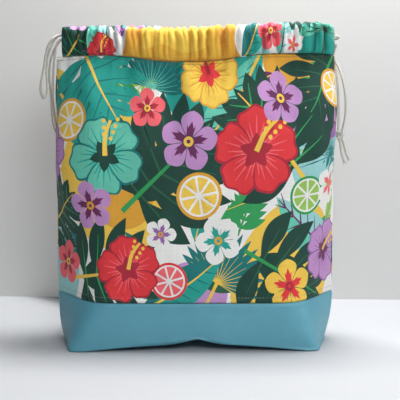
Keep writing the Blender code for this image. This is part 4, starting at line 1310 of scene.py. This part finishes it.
def shell_grid(name, per_half, wall_rows, floor_rows, radius, top_z, inset, lift, detail, thickness, z_step=None):
    """A boxed tray as one skin, from its upper edge down the wall and over the floor."""
    u, side = ring_samples(per_half)
    count = len(u)
    rows = []
    x_top = np.where(side < 0, skin(u, np.full(count, top_z), -1)[0], skin(u, np.full(count, top_z), 1)[0])
    x_low = np.where(side < 0, skin(u, np.zeros(count), -1)[0], skin(u, np.zeros(count), 1)[0])
    base = arch(x_low)
    top = np.where(side < 0, (seam_z(x_top) if top_z < 100 else casing_z(x_top, -1)), (seam_z(x_top) if top_z < 100 else casing_z(x_top, 1))) - 0.12
    girth = np.where(side < 0, u, 2.0 - u) * FLAT_W

    def ring(z, extra, under, height):
        xf, yf = skin(u, z, -1)
        xb, yb = skin(u, z, 1)
        nf = skin_normal(u, z, -1)
        nb = skin_normal(u, z, 1)
        x, y = np.where(side < 0, xf, xb), np.where(side < 0, yf, yb)
        n = [np.where(side < 0, a, b) for a, b in zip(nf, nb)]
        # side seam ends face straight out
        d = detail(x, y, z, height, u, side) if height is not None else 0.0
        off = d - inset - extra
        x, y, zz = x + n[0] * off, y + n[1] * off, z + (n[2] * off if height is not None else 0.0)
        if under:
            mid = np.clip(0.5 * (xf + xb), -RIDGE_X, RIDGE_X)
            x = x + (mid - x) * under
            y = y * (1.0 - under)
        return x, y, zz

    for k in range(wall_rows + 1):
        f = k / wall_rows
        f = f if z_step is None else z_step(f)
        z = top + (base + lift + radius - top) * f
        x, y, zz = ring(z, 0.0, 0.0, top - z)
        rows.append(np.stack([x, y, np.broadcast_to(zz, x.shape)], 1))
    for k in range(1, 8):
        a = math.pi / 2 * k / 7
        z = base + lift + radius * (1 - math.sin(a))
        x, y, zz = ring(z, radius * (1 - math.cos(a)), 0.0, None)
        rows.append(np.stack([x, y, z], 1))
    last = rows[-1]
    for k in range(1, floor_rows + 1):
        f = k / floor_rows
        xf, _ = skin(u, np.zeros(count), -1)
        xb, _ = skin(u, np.zeros(count), 1)
        mid = np.clip(0.5 * (xf + xb), -RIDGE_X, RIDGE_X)
        x = last[:, 0] + (mid - last[:, 0]) * f
        y = last[:, 1] * (1.0 - f)
        if f == 1.0:
            y = np.zeros(count)
        rows.append(np.stack([x, y, arch(x) + lift], 1))
    p = np.vstack(rows)
    n_rows = len(rows)
    tris = []
    for r in range(n_rows - 1):
        for c in range(count):
            a, b = r * count + c, r * count + (c + 1) % count
            tris.append((a, b, b + count))
            tris.append((a, b + count, a + count))
    # flat coordinates for the grain and the weave
    drop = np.concatenate([[0.0], np.cumsum([np.linalg.norm(rows[i + 1] - rows[i], axis=1).mean() for i in range(n_rows - 1)])])
    flat = np.stack([np.tile(girth, n_rows), np.repeat(drop, count)], 1)
    # merge the middle line of the floor
    key = {}
    remap = np.arange(len(p))
    for i in range((n_rows - 1) * count, n_rows * count):
        q = (round(float(p[i, 0]), 2), 0.0)
        remap[i] = key.setdefault(q, i)
    tris = remap[np.array(tris, int)]
    good = (tris[:, 0] != tris[:, 1]) & (tris[:, 1] != tris[:, 2]) & (tris[:, 2] != tris[:, 0])
    tris = tris[good]
    used = np.unique(tris)
    again = -np.ones(len(p), int)
    again[used] = np.arange(len(used))
    p, flat, tris = p[used], flat[used], again[tris]

    ob = cloth_object(name, flat, tris, None, lambda s, t: p, thickness, lambda c: c - np.array([0.0, 0.0, 150.0]) if top_z > 100 else c - np.array([0.0, 0.0, 30.0]))
    return ob


def base_detail(x, y, z, down, u, side):
    """Shape of the vinyl between its seam and its lower fold."""
    d = 0.9 * np.exp(-((down - 3.4) / 3.4) ** 2) * 0.5            # plump just under the seam
    d = d - 0.45 * np.exp(-down / 0.6)
    d = d + 0.8 * waves(x * 0.8 + side * 40.0, z, 71, 6, 60.0, 140.0) * np.clip(down / 14.0, 0, 1)
    d = d + 0.12 * waves(x, z * 0.5, 73, 8, 10.0, 22.0) * np.exp(-(down / 8.0) ** 2)
    # the pinch above the middle of the arch
    low = np.clip(z, 0, 60)
    d = d - np.where(side < 0, 2.4, 1.8) * np.exp(-((x - 1.6) / 9.0) ** 2) * np.exp(-(np.maximum(low - 9.0, 0.0) / 9.0) ** 1.5)
    d = d + 0.9 * np.exp(-((np.abs(x - 1.6) - 19.0) / 9.0) ** 2) * np.exp(-(low / 24.0) ** 2)
    # side seams
    edge = np.minimum(u, 1.0 - u) * FLAT_W
    d = d - 1.3 * np.exp(-edge / 1.1) + 0.35 * np.exp(-((edge - 4.5) / 3.0) ** 2)
    # the seam of the boxed corner, low on each side
    d = d - 0.35 * np.exp(-((z - 4.6) / 0.8) ** 2) * np.exp(-(np.maximum(edge - 38.0, 0.0) / 4.0) ** 2)
    return d


base_ob = shell_grid("vinyl_base", 240, 34, 14, 2.3, 45.0, 0.0, 0.0, base_detail, 1.0,
                     z_step=lambda f: 0.7 * f + 0.3 * f * f)
base_ob.data.materials.append(VINYL_MAT)
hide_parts("base")


# =====================================================================  lining
def lining_detail(x, y, z, down, u, side):
    own = 0.9 * waves(x, z * 0.35, 81, 8, 16.0, 44.0) * np.exp(-(down / 60.0) ** 1.2)
    own = own + 1.0 * waves(x, z, 83, 7, 40.0, 110.0) * np.clip(down / 30.0, 0, 1)
    own = own - 0.8 - 0.8 * np.clip(down / 10.0, 0, 1)
    edge = np.minimum(u, 1.0 - u) * FLAT_W
    own = own + 0.6 * np.exp(-edge / 1.5)
    s = np.clip((u - 0.0009) / 0.9982, 0, 1) * FLAT_W
    low = seam_z(x)
    room = []
    for sd in (-1, 1):
        high = casing_z(x, sd)
        t = np.clip((z - low) / (high - low), 0, 1) * PANEL_H
        room.append(relief(sd, s, t, x, np.maximum(z - low, 0.0), np.maximum(high - z, 0.0)))
    room = np.where(side < 0, room[0], room[1])
    room = np.where(z > low + 1.0, room, base_detail(x, y, z, np.maximum(low - z, 0.0), u, side) - 0.4)
    return np.minimum(own, room + 0.5)


lining_ob = shell_grid("lining_cloth", 170, 60, 12, 4.0, 252.0, 1.9, 2.6, lining_detail, 0.4)
lining_ob.data.materials.append(LINING_MAT)
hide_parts("lining")


# =====================================================================  topstitching
def stitch_row(name, place, s0, s1, t_of, pitch, length, radius, mat, lift=0.12):
    """Single stitches lying on the cloth along a line of it."""
    s = np.arange(s0, s1, 0.25)
    p = place(s, t_of(s))
    run = np.concatenate([[0.0], np.cumsum(np.linalg.norm(np.diff(p, axis=0), axis=1))])
    e = 0.35
    pu = place(s, t_of(s) + e)
    pd = place(s, t_of(s) - e)
    tangent = np.gradient(p, axis=0)
    nrm = np.cross(tangent, pu - pd)
    nrm /= np.linalg.norm(nrm, axis=1)[:, None] + 1e-9
    flip = -1.0 if (nrm[:, 1] * p[:, 1]).sum() < 0 else 1.0
    nrm *= flip
    ang = np.linspace(0, 2 * math.pi, 8, endpoint=False)
    parts = []
    at = pitch * 0.5
    while at < run[-1] - pitch:
        fs = np.linspace(0, 1, 6)
        pts, rad = [], []
        for f in fs:
            q = at + (f - 0.5) * length
            c = np.array([np.interp(q, run, p[:, k]) for k in range(3)])
            n = np.array([np.interp(q, run, nrm[:, k]) for k in range(3)])
            n /= np.linalg.norm(n)
            h = lift + radius * 0.9 * math.sin(math.pi * f) - 0.12
            pts.append(c + n * h)
            rad.append(radius * (0.45 + 0.55 * math.sin(math.pi * (0.08 + 0.84 * f)) ** 0.6))
        pts = np.array(pts)
        _, nn, bb = frames(pts)
        v = np.vstack([pts[i] + rad[i] * (np.outer(np.cos(ang), nn[i]) + np.outer(np.sin(ang), bb[i])) for i in range(len(pts))])
        f_ = []
        for i in range(len(pts) - 1):
            for k in range(8):
                k2 = (k + 1) % 8
                f_.append((i * 8 + k, i * 8 + k2, (i + 1) * 8 + k2, (i + 1) * 8 + k))
        f_.append(tuple(range(7, -1, -1)))
        f_.append(tuple((len(pts) - 1) * 8 + k for k in range(8)))
        parts.append((v, f_))
        at += pitch
    verts, faces = merge(parts)
    ob = mesh_object(name, verts, faces)
    ob.data.materials.append(mat)
    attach(ob, "root")
    return ob


THREAD_LOW = thread_material("thread_grey", lin(150, 146, 138))
THREAD_TOP = thread_material("thread_dark", lin(92, 70, 52))
for side, tag in ((-1, "front"), (1, "back")):
    place = panel_place(side)

    def line_low(s, side=side):
        x0, _ = skin(0.0009 + 0.9982 * s / FLAT_W, 45.0, side)
        x1, _ = skin(0.0009 + 0.9982 * s / FLAT_W, 252.0, side)
        return STITCH_UP / (casing_z(x1, side) - seam_z(x0)) * PANEL_H

    def line_top(s, side=side):
        x0, _ = skin(0.0009 + 0.9982 * s / FLAT_W, 45.0, side)
        x1, _ = skin(0.0009 + 0.9982 * s / FLAT_W, 252.0, side)
        return PANEL_H - STITCH_DOWN / (casing_z(x1, side) - seam_z(x0)) * PANEL_H

    stitch_row("stitches_low_" + tag, place, 2.0, FLAT_W - 2.0, line_low, 2.6, 2.0, 0.22, THREAD_LOW)
    stitch_row("stitches_top_" + tag, place, 5.0, FLAT_W - 5.0, line_top, 2.6, 1.9, 0.22, THREAD_TOP)


# =====================================================================  floor, light
def stage_material(name, colour):
    mat, nt, bsdf = new_material(name)
    geo = nt.nodes.new("ShaderNodeTexCoord")
    soft = noise(nt, geo.outputs["Object"], 6.0, 3.0, 0.5)
    nt.links.new(mix_colour(nt, map_range(nt, soft, 0.3, 0.7, 0.0, 1.0), tuple(c * 0.985 for c in colour), colour), bsdf.inputs["Base Color"])
    bsdf.inputs["Roughness"].default_value = 0.6
    return mat


def slab(name, corners, mat, role):
    mesh = bpy.data.meshes.new(name)
    mesh.from_pydata(corners, [], [(0, 1, 2, 3)])
    mesh.materials.append(mat)
    ob = bpy.data.objects.new(name, mesh)
    bpy.context.scene.collection.objects.link(ob)
    return ob


def wall_y(x):
    return 0.1655 - 0.035 * x


slab("floor", [(-3, -3, 0), (3, -3, 0), (3, wall_y(3), 0), (-3, wall_y(-3), 0)], stage_material("floor_pale", lin(184, 186, 190)), "floor")
slab("wall", [(-3, wall_y(-3), 0), (3, wall_y(3), 0), (3, wall_y(3), 3), (-3, wall_y(-3), 3)], stage_material("wall_pale", lin(198, 198, 197)), "wall")

# painted shadow: a flat sheet on the table's far left corner, up to the foot of the wall, coloured from the floor's
# tone down to near black, stands in for the bag's soft shade there
FLOOR_TINT = lin(184, 186, 190)
shade_mat, nt, bsdf = new_material("floor_shade")
painted_shadow = nt.nodes.new("ShaderNodeVertexColor")
painted_shadow.layer_name = "painted_shadow"
nt.links.new(painted_shadow.outputs["Color"], bsdf.inputs["Base Color"])
bsdf.inputs["Roughness"].default_value = 0.6
rows = (((-0.186, None), (-0.146, 0.127), (-0.114, 0.085)), ((-0.168, None), (-0.138, 0.141), (-0.108, 0.098)), ((-0.150, None), (-0.130, 0.152), (-0.100, 0.110)), ((-0.09, None), (-0.09, 0.16), (-0.088, 0.12)))
# painted shadow: how dark each row of the sheet is painted, against the floor's colour
painted_shadow_tones = (1.0, 0.36, 0.08, 0.08)
corners, colours = [], []
for row, tone in zip(rows, painted_shadow_tones):
    for x, y in row:
        corners.append((x, wall_y(x) - 0.0005 if y is None else y, 0.0003))
        colours.append(tuple(c * tone for c in FLOOR_TINT) + (1.0,))
mesh = bpy.data.meshes.new("floor_shade")
mesh.from_pydata(corners, [], [(3 * i + j, 3 * i + j + 1, 3 * i + j + 4, 3 * i + j + 3) for i in range(3) for j in range(2)])
layer = mesh.color_attributes.new(name="painted_shadow", type="FLOAT_COLOR", domain="POINT")
layer.data.foreach_set("color", np.array(colours, np.float32).ravel())
mesh.materials.append(shade_mat)
shade_ob = bpy.data.objects.new("floor_shade", mesh)
bpy.context.scene.collection.objects.link(shade_ob)

world = bpy.data.worlds.new("studio")
bpy.context.scene.world = world
world.use_nodes = True
bg = world.node_tree.nodes["Background"]
bg.inputs["Color"].default_value = (*lin(226, 229, 233), 1.0)
bg.inputs["Strength"].default_value = 0.13


def area(name, where, look, size, energy, colour=(1, 1, 1), size_y=None):
    data = bpy.data.lights.new(name, "AREA")
    data.energy = energy
    data.color = colour
    data.size = size
    if size_y:
        data.shape = "RECTANGLE"
        data.size_y = size_y
    ob = bpy.data.objects.new(name, data)
    bpy.context.scene.collection.objects.link(ob)
    ob.location = where
    ob.rotation_mode = "QUATERNION"
    ob.rotation_quaternion = (Vector(look) - Vector(where)).to_track_quat("-Z", "Y")
    return ob


area("key", (2.4, -0.80, 0.888), (0.0, 0.0, 0.12), 0.72, 13.4, (1.0, 0.99, 0.97), 0.72)
area("front", (0.30, -1.25, 0.84), (0.0, 0.0, 0.12), 0.5, 10.6, (0.98, 0.99, 1.0))
area("top", (0.07, 0.09, 0.80), (0.0, 0.03, 0.0), 0.30, 8.8, (1.0, 1.0, 0.99), 0.18)
area("wall_wash", (0.16, -0.10, 0.66), (0.16, 0.17, 0.38), 0.45, 1.0, (1.0, 1.0, 1.0), 0.1)
